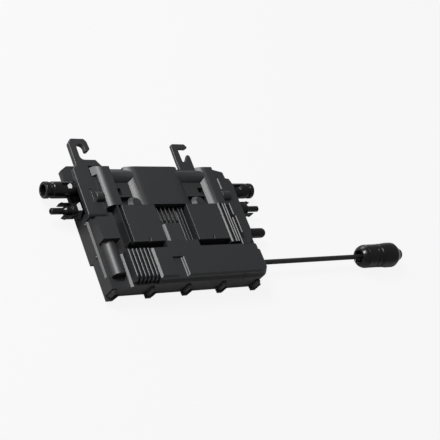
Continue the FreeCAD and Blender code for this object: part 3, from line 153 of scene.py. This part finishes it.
def makeFloor(values):
    half = values["half"]
    mesh = bpy.data.meshes.new("floor")
    corners = [(-half, -half, 0), (half, -half, 0), (half, half, 0), (-half, half, 0)]
    mesh.from_pydata(corners, [], [(0, 1, 2, 3)])
    floor = bpy.data.objects.new("floor", mesh)
    scene.collection.objects.link(floor)
    material = bpy.data.materials.new("paleFloor")
    material.use_nodes = True
    tree = material.node_tree
    tree.nodes.clear()
    lit = tree.nodes.new("ShaderNodeBsdfDiffuse")
    glow = tree.nodes.new("ShaderNodeEmission")
    mix = tree.nodes.new("ShaderNodeMixShader")
    out = tree.nodes.new("ShaderNodeOutputMaterial")
    tone = values["tone"]
    lit.inputs["Color"].default_value = (tone, tone, tone, 1)
    glow.inputs["Color"].default_value = (1, 1, 1, 1)
    glow.inputs["Strength"].default_value = values["glow"]
    tree.links.new(backdropShare(tree, values["share"], values["mirrored"]), mix.inputs[0])
    tree.links.new(lit.outputs[0], mix.inputs[1])
    tree.links.new(glow.outputs[0], mix.inputs[2])
    tree.links.new(mix.outputs[0], out.inputs["Surface"])
    mesh.materials.append(material)


makeLights(lights)
makeWorld(lights)
makeFloor(floorValues)
print("stage ready")


# Shader helpers
def newGroup(name, inputs, outputs):
    group = bpy.data.node_groups.new(name, "ShaderNodeTree")
    for label, kind, value in inputs:
        socket = group.interface.new_socket(name=label, in_out="INPUT", socket_type=kind)
        socket.default_value = value
    for label, kind in outputs:
        group.interface.new_socket(name=label, in_out="OUTPUT", socket_type=kind)
    source = group.nodes.new("NodeGroupInput")
    target = group.nodes.new("NodeGroupOutput")
    return group, source, target


def noiseNode(tree, vector, scale, detail, roughness=0.5):
    node = tree.nodes.new("ShaderNodeTexNoise")
    node.inputs["Detail"].default_value = detail
    node.inputs["Roughness"].default_value = roughness
    tree.links.new(vector, node.inputs["Vector"])
    tree.links.new(scale, node.inputs["Scale"])
    return node.outputs["Fac"]


# Grain of coats and mouldings: specks on a fine noise, and a slow change of tone
grain = {
    "fine": 900.0,
    "fineDetail": 2.0,
    "speckScale": 3.1,  # times the fine noise
    "speckShare": 0.4,
    "speckDetail": 1.0,
    "broad": 14.0,
    "broadDetail": 3.0,
    "broadRoughness": 0.6,
}


def makeGrainGroup(values):
    group, source, target = newGroup(
        "surfaceGrain",
        [
            ("Fine", "NodeSocketFloat", values["fine"]),
            ("Broad", "NodeSocketFloat", values["broad"]),
        ],
        [("Height", "NodeSocketFloat"), ("Tone", "NodeSocketFloat")],
    )
    place = group.nodes.new("ShaderNodeTexCoord").outputs["Object"]
    fine = noiseNode(group, place, source.outputs["Fine"], values["fineDetail"])
    finer = mathNode(group, "MULTIPLY", source.outputs["Fine"], values["speckScale"])
    speck = noiseNode(group, place, finer, values["speckDetail"])
    height = mathNode(group, "ADD", fine, mathNode(group, "MULTIPLY", speck, values["speckShare"]))
    broad = noiseNode(
        group, place, source.outputs["Broad"], values["broadDetail"], values["broadRoughness"]
    )
    group.links.new(height, target.inputs["Height"])
    group.links.new(broad, target.inputs["Tone"])
    return group


grainGroup = makeGrainGroup(grain)


def shiftTone(color, factor):
    return tuple(min(1.0, part * factor) for part in color) + (1.0,)


def baseMaterial(name, metallic=0.0, specular=0.5):
    material = bpy.data.materials.new(name)
    material.use_nodes = True
    tree = material.node_tree
    shader = tree.nodes["Principled BSDF"]
    shader.inputs["Metallic"].default_value = metallic
    shader.inputs["Specular IOR Level"].default_value = specular
    return material, tree, shader


def toneRamp(tree, value, shader, low, high, lowColor, highColor):
    # Base colour between two tones
    ramp = tree.nodes.new("ShaderNodeValToRGB")
    stops = ramp.color_ramp.elements
    stops[0].position, stops[1].position = low, high
    stops[0].color, stops[1].color = lowColor, highColor
    tree.links.new(value, ramp.inputs[0])
    tree.links.new(ramp.outputs[0], shader.inputs["Base Color"])


def bumpNode(tree, height, shader, strength, distance):
    bump = tree.nodes.new("ShaderNodeBump")
    bump.inputs["Strength"].default_value = strength
    bump.inputs["Distance"].default_value = distance
    tree.links.new(height, bump.inputs["Height"])
    tree.links.new(bump.outputs["Normal"], shader.inputs["Normal"])


# What a finish has unless it says otherwise
plainFinish = {
    "metallic": 0.0,
    "specular": 0.5,
    "broad": 14.0,
    "drift": 0.08,  # change of tone, up and down
    "driftStops": (0.3, 0.7),
    "roughSpread": 0.12,
    "depth": 0.00004,  # of the grain, in metres
}
finishes = {
    "housingCoat": {
        "color": (0.0140, 0.0144, 0.0158),
        "specular": 0.72,
        "roughness": 0.40,
        "fine": 1100.0,
        "bump": 0.3,
    },
    "bracketCoat": {
        "color": (0.0140, 0.0144, 0.0158),
        "specular": 0.72,
        "roughness": 0.38,
        "fine": 1100.0,
        "bump": 0.25,
    },
    "sinkCoat": {
        "color": (0.024, 0.0245, 0.026),
        "roughness": 0.36,
        "fine": 1400.0,
        "bump": 0.2,
    },
    "couplerPolymer": {
        "color": (0.0065, 0.0065, 0.0072),
        "specular": 0.4,
        "roughness": 0.17,
        "roughSpread": 0.08,
        "fine": 1800.0,
        "bump": 0.2,
    },
    "sealRubber": {
        "color": (0.016, 0.016, 0.017),
        "roughness": 0.62,
        "fine": 2200.0,
        "bump": 0.3,
    },
    "leadSheath": {
        "color": (0.013, 0.013, 0.014),
        "roughness": 0.42,
        "fine": 1500.0,
        "bump": 0.3,
    },
    "platedSteel": {
        "color": (0.42, 0.42, 0.43),
        "roughness": 0.24,
        "fine": 2600.0,
        "bump": 0.15,
        "metallic": 1.0,
    },
    "contactBrass": {
        "color": (0.60, 0.44, 0.20),
        "roughness": 0.2,
        "fine": 2400.0,
        "bump": 0.1,
        "metallic": 1.0,
    },
    "ferriteCore": {
        "color": (0.035, 0.035, 0.038),
        "roughness": 0.55,
        "fine": 3000.0,
        "bump": 0.5,
    },
    "thermalPad": {
        "color": (0.36, 0.42, 0.48),
        "roughness": 0.6,
        "fine": 1600.0,
        "bump": 0.4,
    },
    "moulding": {
        "color": (0.03, 0.03, 0.032),
        "roughness": 0.4,
        "fine": 1800.0,
        "bump": 0.3,
    },
    "canSleeve": {
        "color": (0.03, 0.035, 0.05),
        "roughness": 0.28,
        "fine": 900.0,
        "bump": 0.1,
    },
}


def grainMaterial(name, finish):
    # A coat, moulding, metal or rubber: base colour and roughness drift with the grain group
    values = {**plainFinish, **finish}
    material, tree, shader = baseMaterial(name, values["metallic"], values["specular"])
    group = tree.nodes.new("ShaderNodeGroup")
    group.node_tree = grainGroup
    group.inputs["Fine"].default_value = values["fine"]
    group.inputs["Broad"].default_value = values["broad"]
    color, drift = values["color"], values["drift"]
    darker, lighter = shiftTone(color, 1 - drift), shiftTone(color, 1 + drift)
    low, high = values["driftStops"]
    toneRamp(tree, group.outputs["Tone"], shader, low, high, darker, lighter)
    height = group.outputs["Height"]
    spread = mathNode(tree, "MULTIPLY", height, values["roughSpread"])
    rough = mathNode(tree, "ADD", spread, values["roughness"])
    tree.links.new(rough, shader.inputs["Roughness"])
    bumpNode(tree, height, shader, values["bump"], values["depth"])
    return material


materials = {name: grainMaterial(name, values) for name, values in finishes.items()}

# Green lacquer with a net of fine copper runs under it
board = {
    "roughness": 0.25,
    "net": 160.0,  # cells to the metre
    "edges": (0.06, 0.10),
    "runs": (0.06, 0.26, 0.10, 1),
    "lacquer": (0.015, 0.12, 0.045, 1),
}


def boardMaterial(values):
    material, tree, shader = baseMaterial("boardLacquer")
    shader.inputs["Roughness"].default_value = values["roughness"]
    place = tree.nodes.new("ShaderNodeTexCoord").outputs["Object"]
    net = tree.nodes.new("ShaderNodeTexVoronoi")
    net.distance = "CHEBYCHEV"
    net.feature = "DISTANCE_TO_EDGE"
    net.inputs["Scale"].default_value = values["net"]
    tree.links.new(place, net.inputs["Vector"])
    low, high = values["edges"]
    toneRamp(tree, net.outputs["Distance"], shader, low, high, values["runs"], values["lacquer"])
    return material


# Enamelled wire in turns one above the other; the dark tone lies in the grooves between turns,
# where the bump is low, and is painted shade
wire = {
    "metallic": 0.9,
    "roughness": 0.3,
    "bands": 360.0,
    "dark": (0.20, 0.06, 0.02, 1),
    "bright": (0.62, 0.27, 0.10, 1),
    "bump": 0.6,
    "depth": 0.0003,
}


def wireMaterial(values):
    material, tree, shader = baseMaterial("enamelWire", values["metallic"])
    shader.inputs["Roughness"].default_value = values["roughness"]
    place = tree.nodes.new("ShaderNodeTexCoord").outputs["Object"]
    wave = tree.nodes.new("ShaderNodeTexWave")
    wave.bands_direction = "Z"
    wave.inputs["Scale"].default_value = values["bands"]
    tree.links.new(place, wave.inputs["Vector"])
    # Dark where the bands are low, in the grooves between turns: painted shade
    toneRamp(tree, wave.outputs["Fac"], shader, 0.0, 1.0, values["dark"], values["bright"])
    bumpNode(tree, wave.outputs["Fac"], shader, values["bump"], values["depth"])
    return material


materials["boardLacquer"] = boardMaterial(board)
materials["enamelWire"] = wireMaterial(wire)

# Which pieces have which finish
nodeFinishes = {
    "housingCoat": ["rear_tray", "front_cover", "left_lid", "right_lid", "wall_plugs"],
    "bracketCoat": ["left_bracket", "right_bracket", "right_hook_bracket"],
    "sinkCoat": ["heat_sink"],
    "couplerPolymer": [
        "aerial_cap",
        "ac_gland_nut",
        "ac_body",
        "ac_coupling_ring",
        "ac_front_shell",
        "ac_insert",
    ],
    "sealRubber": ["housing_gasket", "ac_grommet"],
    "leadSheath": ["ac_cable"],
    "platedSteel": ["housing_screws", "bracket_screws", "board_screws"],
    "contactBrass": ["dc_terminals", "aerial_rod", "ac_contacts"],
    "ferriteCore": ["left_transformer_core", "right_transformer_core", "output_choke"],
    "enamelWire": ["left_transformer_winding", "right_transformer_winding"],
    "thermalPad": ["lid_pads", "heat_pads"],
    "canSleeve": ["storage_capacitors"],
    "moulding": ["film_capacitor", "grid_relay", "power_switches", "ac_terminal"],
    "boardLacquer": ["circuit_board"],
}
for side in ("left", "right"):
    for part in ("socket", "plug"):
        coupler = f"{side}_{part}"
        nodeFinishes["couplerPolymer"] += [coupler, coupler + "_nut"]
        nodeFinishes["sealRubber"].append(coupler + "_washer")
        nodeFinishes["contactBrass"].append(coupler + "_contact")
finishOf = {name: finish for finish, names in nodeFinishes.items() for name in names}


def finishNodes():
    for name, finish in finishOf.items():
        mesh = nodes[name].data
        mesh.materials.clear()
        mesh.materials.append(materials[finish])
        mesh.polygons.foreach_set("material_index", [0] * len(mesh.polygons))


finishNodes()
print("finishes ready")

# Pieces made from a solid's own mesh: how wide their edges are rounded, in mm
rounding = {
    "front_cover": 0.9,
    "rear_tray": 0.5,
    "left_lid": 0.6,
    "right_lid": 0.6,
    "heat_sink": 1.4,
    "left_bracket": 1.0,
    "right_bracket": 1.0,
    "right_hook_bracket": 1.0,
    "left_socket": 0.5,
    "right_socket": 0.5,
    "left_plug": 0.35,
    "right_plug": 0.35,
    "aerial_cap": 0.6,
    "ac_grommet": 0.4,
    "ac_body": 0.8,
    "ac_coupling_ring": 0.6,
    "wall_plugs": 0.7,
    "ac_insert": 0.3,
}
evenPieces = ("front_cover", "rear_tray")  # one width all over, as wide as the smallest step allows
edgeRules = {
    "sharp": 29.0,  # degrees between faces, past which an edge is rounded
    "inLine": 0.9,  # cosine past which two edges run on as one line
    "room": 0.4,  # share of a neighbour's length that a rounding may take
    "least": 0.2,  # share of the whole width under which an edge stays sharp
    "segments": 2,
}
smoothAngle = 35.0  # degrees, for the pieces that Geometry Nodes make
flatAngle = 1.0  # degrees, under which neighbouring triangles are one face
merge = 0.000004  # metres, under which corners are one


def plainMesh(item):
    graph = bpy.context.evaluated_depsgraph_get()
    return bpy.data.meshes.new_from_object(item.evaluated_get(graph), depsgraph=graph)


def addPiece(name, mesh, finish, smooth=None):
    piece = bpy.data.objects.new(name, mesh)
    scene.collection.objects.link(piece)
    mesh.materials.clear()
    mesh.materials.append(materials[finish])
    if smooth:
        mesh.shade_smooth()
        mesh.set_sharp_from_angle(angle=radians(smooth))
    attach(piece, "root")
    return piece


def mergedMesh(name):
    # A node's loose triangles as one closed mesh with plain flat faces
    mesh = nodes[name].data.copy()
    build = bmesh.new()
    build.from_mesh(mesh)
    bmesh.ops.remove_doubles(build, verts=build.verts, dist=merge)
    bmesh.ops.dissolve_degenerate(build, edges=build.edges, dist=merge)
    flat = radians(flatAngle)
    bmesh.ops.dissolve_limit(build, angle_limit=flat, verts=build.verts, edges=build.edges)
    build.to_mesh(mesh)
    build.free()
    if "custom_normal" in mesh.attributes:
        mesh.attributes.remove(mesh.attributes["custom_normal"])
    return mesh


def linkedGroups(items, neighbours):
    # Items in groups that hang together
    groups, done = [], set()
    for first in items:
        if first in done:
            continue
        group, waiting = [], [first]
        done.add(first)
        while waiting:
            item = waiting.pop()
            group.append(item)
            for other in neighbours(item):
                if other not in done:
                    done.add(other)
                    waiting.append(other)
        groups.append(group)
    return groups


def markEdges(mesh, width, rules):
    # Sharp edges in one line share a rounding: the whole width, or what their neighbours leave
    build = bmesh.new()
    build.from_mesh(mesh)
    weight = build.edges.layers.float.new("bevel_weight_edge")
    room, line = {}, {}
    for edge in build.edges:
        if len(edge.link_faces) == 2 and edge.calc_face_angle(0.0) > radians(rules["sharp"]):
            room[edge] = width
            line[edge] = []
    for edge in room:
        for corner in edge.verts:
            way = (edge.other_vert(corner).co - corner.co).normalized()
            for other in corner.link_edges:
                if other is edge:
                    continue
                turn = way.dot((other.other_vert(corner).co - corner.co).normalized())
                if turn > rules["inLine"]:
                    room[edge] = 0.0
                elif turn > -rules["inLine"]:
                    room[edge] = min(room[edge], rules["room"] * other.calc_length())
                elif other in room:
                    line[edge].append(other)
    for chain in linkedGroups(room, lambda edge: line[edge]):
        share = min(room[edge] for edge in chain) / width
        for edge in chain:
            edge[weight] = share if share > rules["least"] else 0.0
    build.to_mesh(mesh)
    build.free()


# Crests of the six fins at the lower left: their slopes are drawn in to a narrow, crisp band
finCrests = {
    "first": -83.4,
    "pitch": 5.33,
    "count": 6,
    "slope": (1.5, 1.25),
    "crisp": (0.65, 0.54),
    "top": 38.4,
    "behind": -53.0,
}


def crispCrests(mesh, values):
    width, drop = values["slope"]
    newWidth, newDrop = values["crisp"]
    top = values["top"]
    for corner in mesh.vertices:
        x, y, z = (part / mm for part in corner.co)
        fin = int((x - values["first"] + slack) / values["pitch"])
        start = values["first"] + fin * values["pitch"]
        run = (x - start) / width  # 0 at the foot of the slope, 1 at its top
        isFin = 0 <= fin < values["count"] and y < values["behind"]
        onSlope = -slack < x - start < width + slack and abs(top - drop * (1 - run) - z) < slack
        if isFin and onSlope:
            corner.co.x = (start + run * newWidth) * mm
            corner.co.z = (top - (1 - run) * newDrop) * mm


# The slit beside the right round boss: clear of the hump, with a far wall that slopes to the light
bracketSlit = {
    "low": (86.5, 28.4, 28.4),  # corners of the solid's slit
    "high": (88.3, 44.4, 30.0),
    "near": 89.9,
    "floor": 90.9,
    "far": 92.4,
    "depth": 1.25,
    "along": 1.4,
}


def moveSlit(mesh, values):
    low, high = values["low"], values["high"]
    for corner in mesh.vertices:
        place = [part / mm for part in corner.co]
        if all(low[i] - slack < place[i] < high[i] + slack for i in range(3)):
            sunk = place[2] < high[2] - slack
            side = "near" if place[0] < low[0] + slack else "floor" if sunk else "far"
            corner.co.x = values[side] * mm
            corner.co.y += values["along"] * mm
            corner.co.z = (high[2] - (values["depth"] if sunk else 0.0)) * mm


# The heat sink's block: a gentler left slope, and less room between its end and the short fins
sinkBlock = {
    # where the corners are, where they go
    "foot": (-18.62, -20.7),
    "crest": (-15.80, -15.4),
    "end": (-22.65, -18.0),
    "fins": (-13.55, -15.6),
}


def shapeSink(mesh, values):
    for corner in mesh.vertices:
        x, y = corner.co.x / mm, corner.co.y / mm
        for label in ("foot", "crest"):
            old, new = values[label]
            if abs(x - old) < slack and y < values["end"][0] + slack:
                corner.co.x = new * mm
        for label in ("end", "fins"):
            old, new = values[label]
            if abs(y - old) < slack:
                corner.co.y = new * mm


reshapes = {
    "front_cover": (crispCrests, finCrests),
    "right_bracket": (moveSlit, bracketSlit),
    "heat_sink": (shapeSink, sinkBlock),
}


def roundedPiece(name, width, rules):
    mesh = mergedMesh(name)
    if name in reshapes:
        reshape, values = reshapes[name]
        reshape(mesh, values)
    sharp = radians(rules["sharp"])
    mesh.shade_smooth()
    mesh.set_sharp_from_angle(angle=sharp)
    markEdges(mesh, width * mm, rules)
    draft = bpy.data.objects.new(name + "_draft", mesh)
    scene.collection.objects.link(draft)
    bevel = draft.modifiers.new("edges", "BEVEL")
    bevel.width = width * mm
    bevel.segments = rules["segments"]
    bevel.limit_method = "ANGLE" if name in evenPieces else "WEIGHT"
    bevel.angle_limit = sharp
    bevel.use_clamp_overlap = name in evenPieces
    bevel.harden_normals = True
    result = plainMesh(draft)
    bpy.data.objects.remove(draft)
    piece = addPiece(name + "_rounded", result, finishOf[name])
    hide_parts(name)


for name, width in rounding.items():
    roundedPiece(name, width, edgeRules)
print("rounded pieces ready")


# Geometry Nodes helpers
def newTree(name, inputs):
    tree = bpy.data.node_groups.new(name, "GeometryNodeTree")
    tree.is_modifier = True
    sockets = tree.interface
    sockets.new_socket(name="Geometry", in_out="INPUT", socket_type="NodeSocketGeometry")
    for label, kind, value in inputs:
        socket = sockets.new_socket(name=label, in_out="INPUT", socket_type="NodeSocket" + kind)
        if value is not None:
            socket.default_value = value
    sockets.new_socket(name="Geometry", in_out="OUTPUT", socket_type="NodeSocketGeometry")
    source = tree.nodes.new("NodeGroupInput")
    target = tree.nodes.new("NodeGroupOutput")
    return tree, source.outputs, target.inputs["Geometry"]


def addNode(tree, kind, **links):
    # Keywords name input sockets with spaces left out; a value is set, a socket is linked
    node = tree.nodes.new(kind)
    for label, value in links.items():
        enabled = (item for item in node.inputs if item.enabled)
        socket = next(item for item in enabled if item.name.replace(" ", "") == label)
        if isinstance(value, bpy.types.NodeSocket):
            tree.links.new(value, socket)
        else:
            socket.default_value = value
    return node


def lifted(tree, geometry, height):
    # Geometry moved up by a height
    shift = addNode(tree, "ShaderNodeCombineXYZ", Z=height).outputs[0]
    return addNode(tree, "GeometryNodeTransform", Geometry=geometry, Translation=shift).outputs[0]


def closeTree(tree, source, target, geometry):
    real = addNode(tree, "GeometryNodeRealizeInstances", Geometry=geometry).outputs[0]
    paint = addNode(tree, "GeometryNodeSetMaterial", Geometry=real, Material=source["Finish"])
    tree.links.new(paint.outputs[0], target)
    return tree


def runTree(name, mesh, tree, values):
    # Runs a tree on a mesh and keeps the plain result
    draft = bpy.data.objects.new(name + "_draft", mesh)
    scene.collection.objects.link(draft)
    modifier = draft.modifiers.new("build", "NODES")
    modifier.node_group = tree
    for item in tree.interface.items_tree:
        if item.in_out == "INPUT" and item.name in values:
            modifier[item.identifier] = values[item.name]
    result = plainMesh(draft)
    draft.modifiers.clear()
    bpy.data.objects.remove(draft)
    return addPiece(name, result, values["Finish"].name, smoothAngle)


def looseBoxes(name):
    # Lowest and highest corner of each separate solid of a node
    build = bmesh.new()
    build.from_mesh(nodes[name].data)
    bmesh.ops.remove_doubles(build, verts=build.verts, dist=merge)
    boxes = []
    for island in linkedGroups(
        build.verts, lambda corner: [edge.other_vert(corner) for edge in corner.link_edges]
    ):
        low = Vector([min(corner.co[i] for corner in island) for i in range(3)])
        high = Vector([max(corner.co[i] for corner in island) for i in range(3)])
        boxes.append((low, high))
    build.free()
    return boxes


def pointMesh(name, places):
    mesh = bpy.data.meshes.new(name)
    mesh.from_pydata([tuple(place) for place in places], [], [])
    return mesh


# Socket head screws: one at each point, the face of its head on the point; sizes in mm
screws = {
    "housing_screws": {
        "headUp": False,
        "shankRadius": 1.4,
        "headHeight": 1.8,
        "edge": 0.35,
        "recess": 1.35,
        "recessDepth": 1.0,
    },
    "bracket_screws": {
        "headUp": False,
        "shankRadius": 1.4,
        "headHeight": 1.8,
        "edge": 0.35,
        "recess": 1.35,
        "recessDepth": 1.0,
    },
    "board_screws": {
        "headUp": True,
        "shankRadius": 1.2,
        "headHeight": 1.6,
        "edge": 0.35,
        "recess": 1.1,
        "recessDepth": 0.8,
    },
}
screwSides = {"head": 40, "shank": 24, "recess": 6}


def makeScrewTree(sides):
    tree, source, target = newTree("socketScrew", [
        ("Head Radius", "Float", 0.0026),
        ("Head Height", "Float", 0.0018),
        ("Edge", "Float", 0.0004),
        ("Shank Radius", "Float", 0.0014),
        ("Length", "Float", 0.012),
        ("Recess", "Float", 0.0013),
        ("Recess Depth", "Float", 0.001),
        ("Turn", "Rotation", None),
        ("Finish", "Material", None),
    ])

    def rod(count, radius, height, start):
        # A cylinder that stands on a height
        solid = addNode(
            tree, "GeometryNodeMeshCylinder", Vertices=count, Radius=radius, Depth=height
        )
        middle = mathNode(tree, "ADD", start, mathNode(tree, "MULTIPLY", height, 0.5))
        return lifted(tree, solid.outputs["Mesh"], middle)

    radius, edge, depth = source["Head Radius"], source["Edge"], source["Recess Depth"]
    rim = addNode(
        tree, "GeometryNodeMeshCone",
        Vertices=sides["head"], Depth=edge,
        RadiusTop=radius, RadiusBottom=mathNode(tree, "SUBTRACT", radius, edge),
    )
    plain = mathNode(tree, "SUBTRACT", source["Head Height"], edge)
    head = rod(sides["head"], radius, plain, edge)
    shank = rod(sides["shank"], source["Shank Radius"], source["Length"], source["Head Height"])
    below = mathNode(tree, "MULTIPLY", depth, -1.0)
    key = rod(sides["recess"], source["Recess"], mathNode(tree, "MULTIPLY", depth, 2.0), below)
    whole = tree.nodes.new("GeometryNodeMeshBoolean")
    whole.operation = "UNION"
    for solid in (rim.outputs["Mesh"], head, shank):
        tree.links.new(solid, whole.inputs["Mesh 2"])
    cut = tree.nodes.new("GeometryNodeMeshBoolean")
    cut.operation = "DIFFERENCE"
    tree.links.new(whole.outputs["Mesh"], cut.inputs["Mesh 1"])
    tree.links.new(key, cut.inputs["Mesh 2"])
    spread = addNode(
        tree, "GeometryNodeInstanceOnPoints",
        Points=source["Geometry"], Instance=cut.outputs["Mesh"], Rotation=source["Turn"],
    )
    return closeTree(tree, source, target, spread.outputs[0])


screwTree = makeScrewTree(screwSides)


def makeScrews(name, values):
    boxes = looseBoxes(name)
    places = []
    for low, high in boxes:
        middle = (low + high) / 2
        places.append((middle.x, middle.y, high.z if values["headUp"] else low.z))
    low, high = boxes[-1]  # they are all of one size
    piece = runTree(name + "_socket", pointMesh(name + "_places", places), screwTree, {
        "Head Radius": (high.x - low.x) / 2,
        "Head Height": values["headHeight"] * mm,
        "Edge": values["edge"] * mm,
        "Shank Radius": values["shankRadius"] * mm,
        "Length": high.z - low.z - values["headHeight"] * mm,
        "Recess": values["recess"] * mm,
        "Recess Depth": values["recessDepth"] * mm,
        "Turn": (pi if values["headUp"] else 0.0, 0.0, 0.0),
        "Finish": materials["platedSteel"],
    })
    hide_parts(name)


for name, values in screws.items():
    makeScrews(name, values)
print("screws ready")

# Transformer windings: turns of wire laid on a plain coil former; sizes in mm
windings = {
    "names": ["left_transformer_winding", "right_transformer_winding"],
    "wire": 1.1,
    "turns": 11.0,
    "former": 6.3,
    "steps": {"turn": 40, "wire": 8, "former": 64},
}


def makeCoilTree(steps):
    tree, source, target = newTree("wireCoil", [
        ("Outer Radius", "Float", 0.0143),
        ("Former Radius", "Float", 0.0063),
        ("Height", "Float", 0.0135),
        ("Turns", "Float", 11.0),
        ("Wire", "Float", 0.0011),
        ("Finish", "Material", None),
    ])
    height = source["Height"]
    half = mathNode(tree, "MULTIPLY", source["Wire"], 0.5)
    radius = mathNode(tree, "SUBTRACT", source["Outer Radius"], half)
    turns = addNode(
        tree, "GeometryNodeCurveSpiral",
        Resolution=steps["turn"], Rotations=source["Turns"],
        StartRadius=radius, EndRadius=radius,
        Height=mathNode(tree, "SUBTRACT", height, source["Wire"]),
    )
    circle = "GeometryNodeCurvePrimitiveCircle"
    section = addNode(tree, circle, Resolution=steps["wire"], Radius=half)
    coil = addNode(
        tree, "GeometryNodeCurveToMesh",
        Curve=turns.outputs[0], ProfileCurve=section.outputs[0], FillCaps=True,
    )
    # The coil under the outer layer: a ring of rectangular section
    depth = mathNode(tree, "SUBTRACT", radius, source["Former Radius"])
    middle = mathNode(tree, "ADD", source["Former Radius"], mathNode(tree, "MULTIPLY", depth, 0.5))
    path = addNode(tree, circle, Resolution=steps["former"], Radius=middle)
    block = addNode(tree, "GeometryNodeCurvePrimitiveQuadrilateral", Width=depth, Height=height)
    ring = addNode(
        tree, "GeometryNodeCurveToMesh", Curve=path.outputs[0], ProfileCurve=block.outputs[0]
    )
    both = tree.nodes.new("GeometryNodeJoinGeometry")
    tree.links.new(lifted(tree, coil.outputs[0], half), both.inputs[0])
    centre = mathNode(tree, "MULTIPLY", height, 0.5)
    tree.links.new(lifted(tree, ring.outputs[0], centre), both.inputs[0])
    spread = addNode(
        tree, "GeometryNodeInstanceOnPoints",
        Points=source["Geometry"], Instance=both.outputs[0],
    )
    return closeTree(tree, source, target, spread.outputs[0])


coilTree = makeCoilTree(windings["steps"])


def makeWinding(name, values):
    low, high = (Vector(corner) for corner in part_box(name))
    middle = (low + high) / 2
    place = pointMesh(name + "_place", [(middle.x, middle.y, low.z)])
    piece = runTree(name + "_turns", place, coilTree, {
        "Outer Radius": (high.x - low.x) / 2,
        "Former Radius": values["former"] * mm,
        "Height": high.z - low.z,
        "Turns": values["turns"],
        "Wire": values["wire"] * mm,
        "Finish": materials["enamelWire"],
    })
    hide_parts(name)


for name in windings["names"]:
    makeWinding(name, windings)
print("windings ready")

# The output lead, from the grommet to its coupler
lead = {
    "start": (0.112, -0.0688, 0.0166),
    "end": (0.2940, -0.0688, 0.0166),
    "diameter": 0.0063,
    "points": 5,
    "roundness": 6,
}

# Turned ends of the output coupler: a dome with a rolled lip round the lead, and a sloping front
# with a nose. Each profile is closed: place along the lead and radius, in mm
couplerEnds = {
    "sides": 96,
    "smooth": 32.0,
    "profiles": {
        "ac_gland_nut": [
            (295.0, 6.1), (294.0, 6.1), (294.0, 7.2), (289.7, 7.6), (288.7, 7.8),
            (288.0, 8.2), (287.6, 8.8), (287.65, 9.5), (288.1, 10.2), (289.1, 11.2),
            (290.3, 12.3), (291.4, 13.2), (292.6, 14.0), (293.8, 14.5), (295.0, 14.8),
        ],
        "ac_front_shell": [
            (320.4, 3.0), (320.4, 14.2), (320.8, 14.9), (321.4, 15.3), (322.0, 15.6),
            (329.0, 15.7), (332.7, 16.1), (336.5, 16.6), (346.6, 16.6), (347.6, 16.4),
            (348.4, 15.9), (358.2, 10.0), (358.8, 9.4), (359.0, 8.6), (359.3, 7.9),
            (360.0, 7.7), (362.9, 7.7), (363.4, 7.5), (363.6, 7.1), (363.6, 6.6),
            (351.6, 6.6), (351.6, 6.0), (340.5, 6.0), (340.5, 3.0),
        ],
    },
}


def turnedPiece(name, profile, values):
    count = values["sides"]
    turns = [(cos(tau * i / count), sin(tau * i / count)) for i in range(count)]
    axis = Vector(lead["start"])
    mesh = bpy.data.meshes.new(name)
    build = bmesh.new()
    rings = []
    for along, radius in profile:
        reach = radius * mm
        rings.append([
            build.verts.new((along * mm, axis.y + reach * across, axis.z + reach * up))
            for across, up in turns
        ])
    for first, second in zip(rings, rings[1:] + rings[:1]):
        for i in range(count):
            j = (i + 1) % count
            build.faces.new((first[i], first[j], second[j], second[i]))
    bmesh.ops.recalc_face_normals(build, faces=build.faces)
    build.to_mesh(mesh)
    build.free()
    piece = addPiece(name + "_rounded", mesh, finishOf[name], values["smooth"])
    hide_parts(name)


for name, profile in couplerEnds["profiles"].items():
    turnedPiece(name, profile, couplerEnds)
print("coupler ends ready")


def makeLead(values):
    curve = bpy.data.curves.new("output_lead", "CURVE")
    curve.dimensions = "3D"
    curve.bevel_depth = values["diameter"] / 2
    curve.bevel_resolution = values["roundness"]
    curve.use_fill_caps = True
    start, end = Vector(values["start"]), Vector(values["end"])
    spline = curve.splines.new("NURBS")
    spline.points.add(values["points"] - 1)
    for i, point in enumerate(spline.points):
        point.co = start.lerp(end, i / (values["points"] - 1)).to_4d()
    spline.order_u = 3
    spline.use_endpoint_u = True
    item = bpy.data.objects.new("output_lead", curve)
    scene.collection.objects.link(item)
    curve.materials.append(materials["leadSheath"])
    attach(item, "root")
    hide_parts("ac_cable")


makeLead(lead)
print("lead ready")
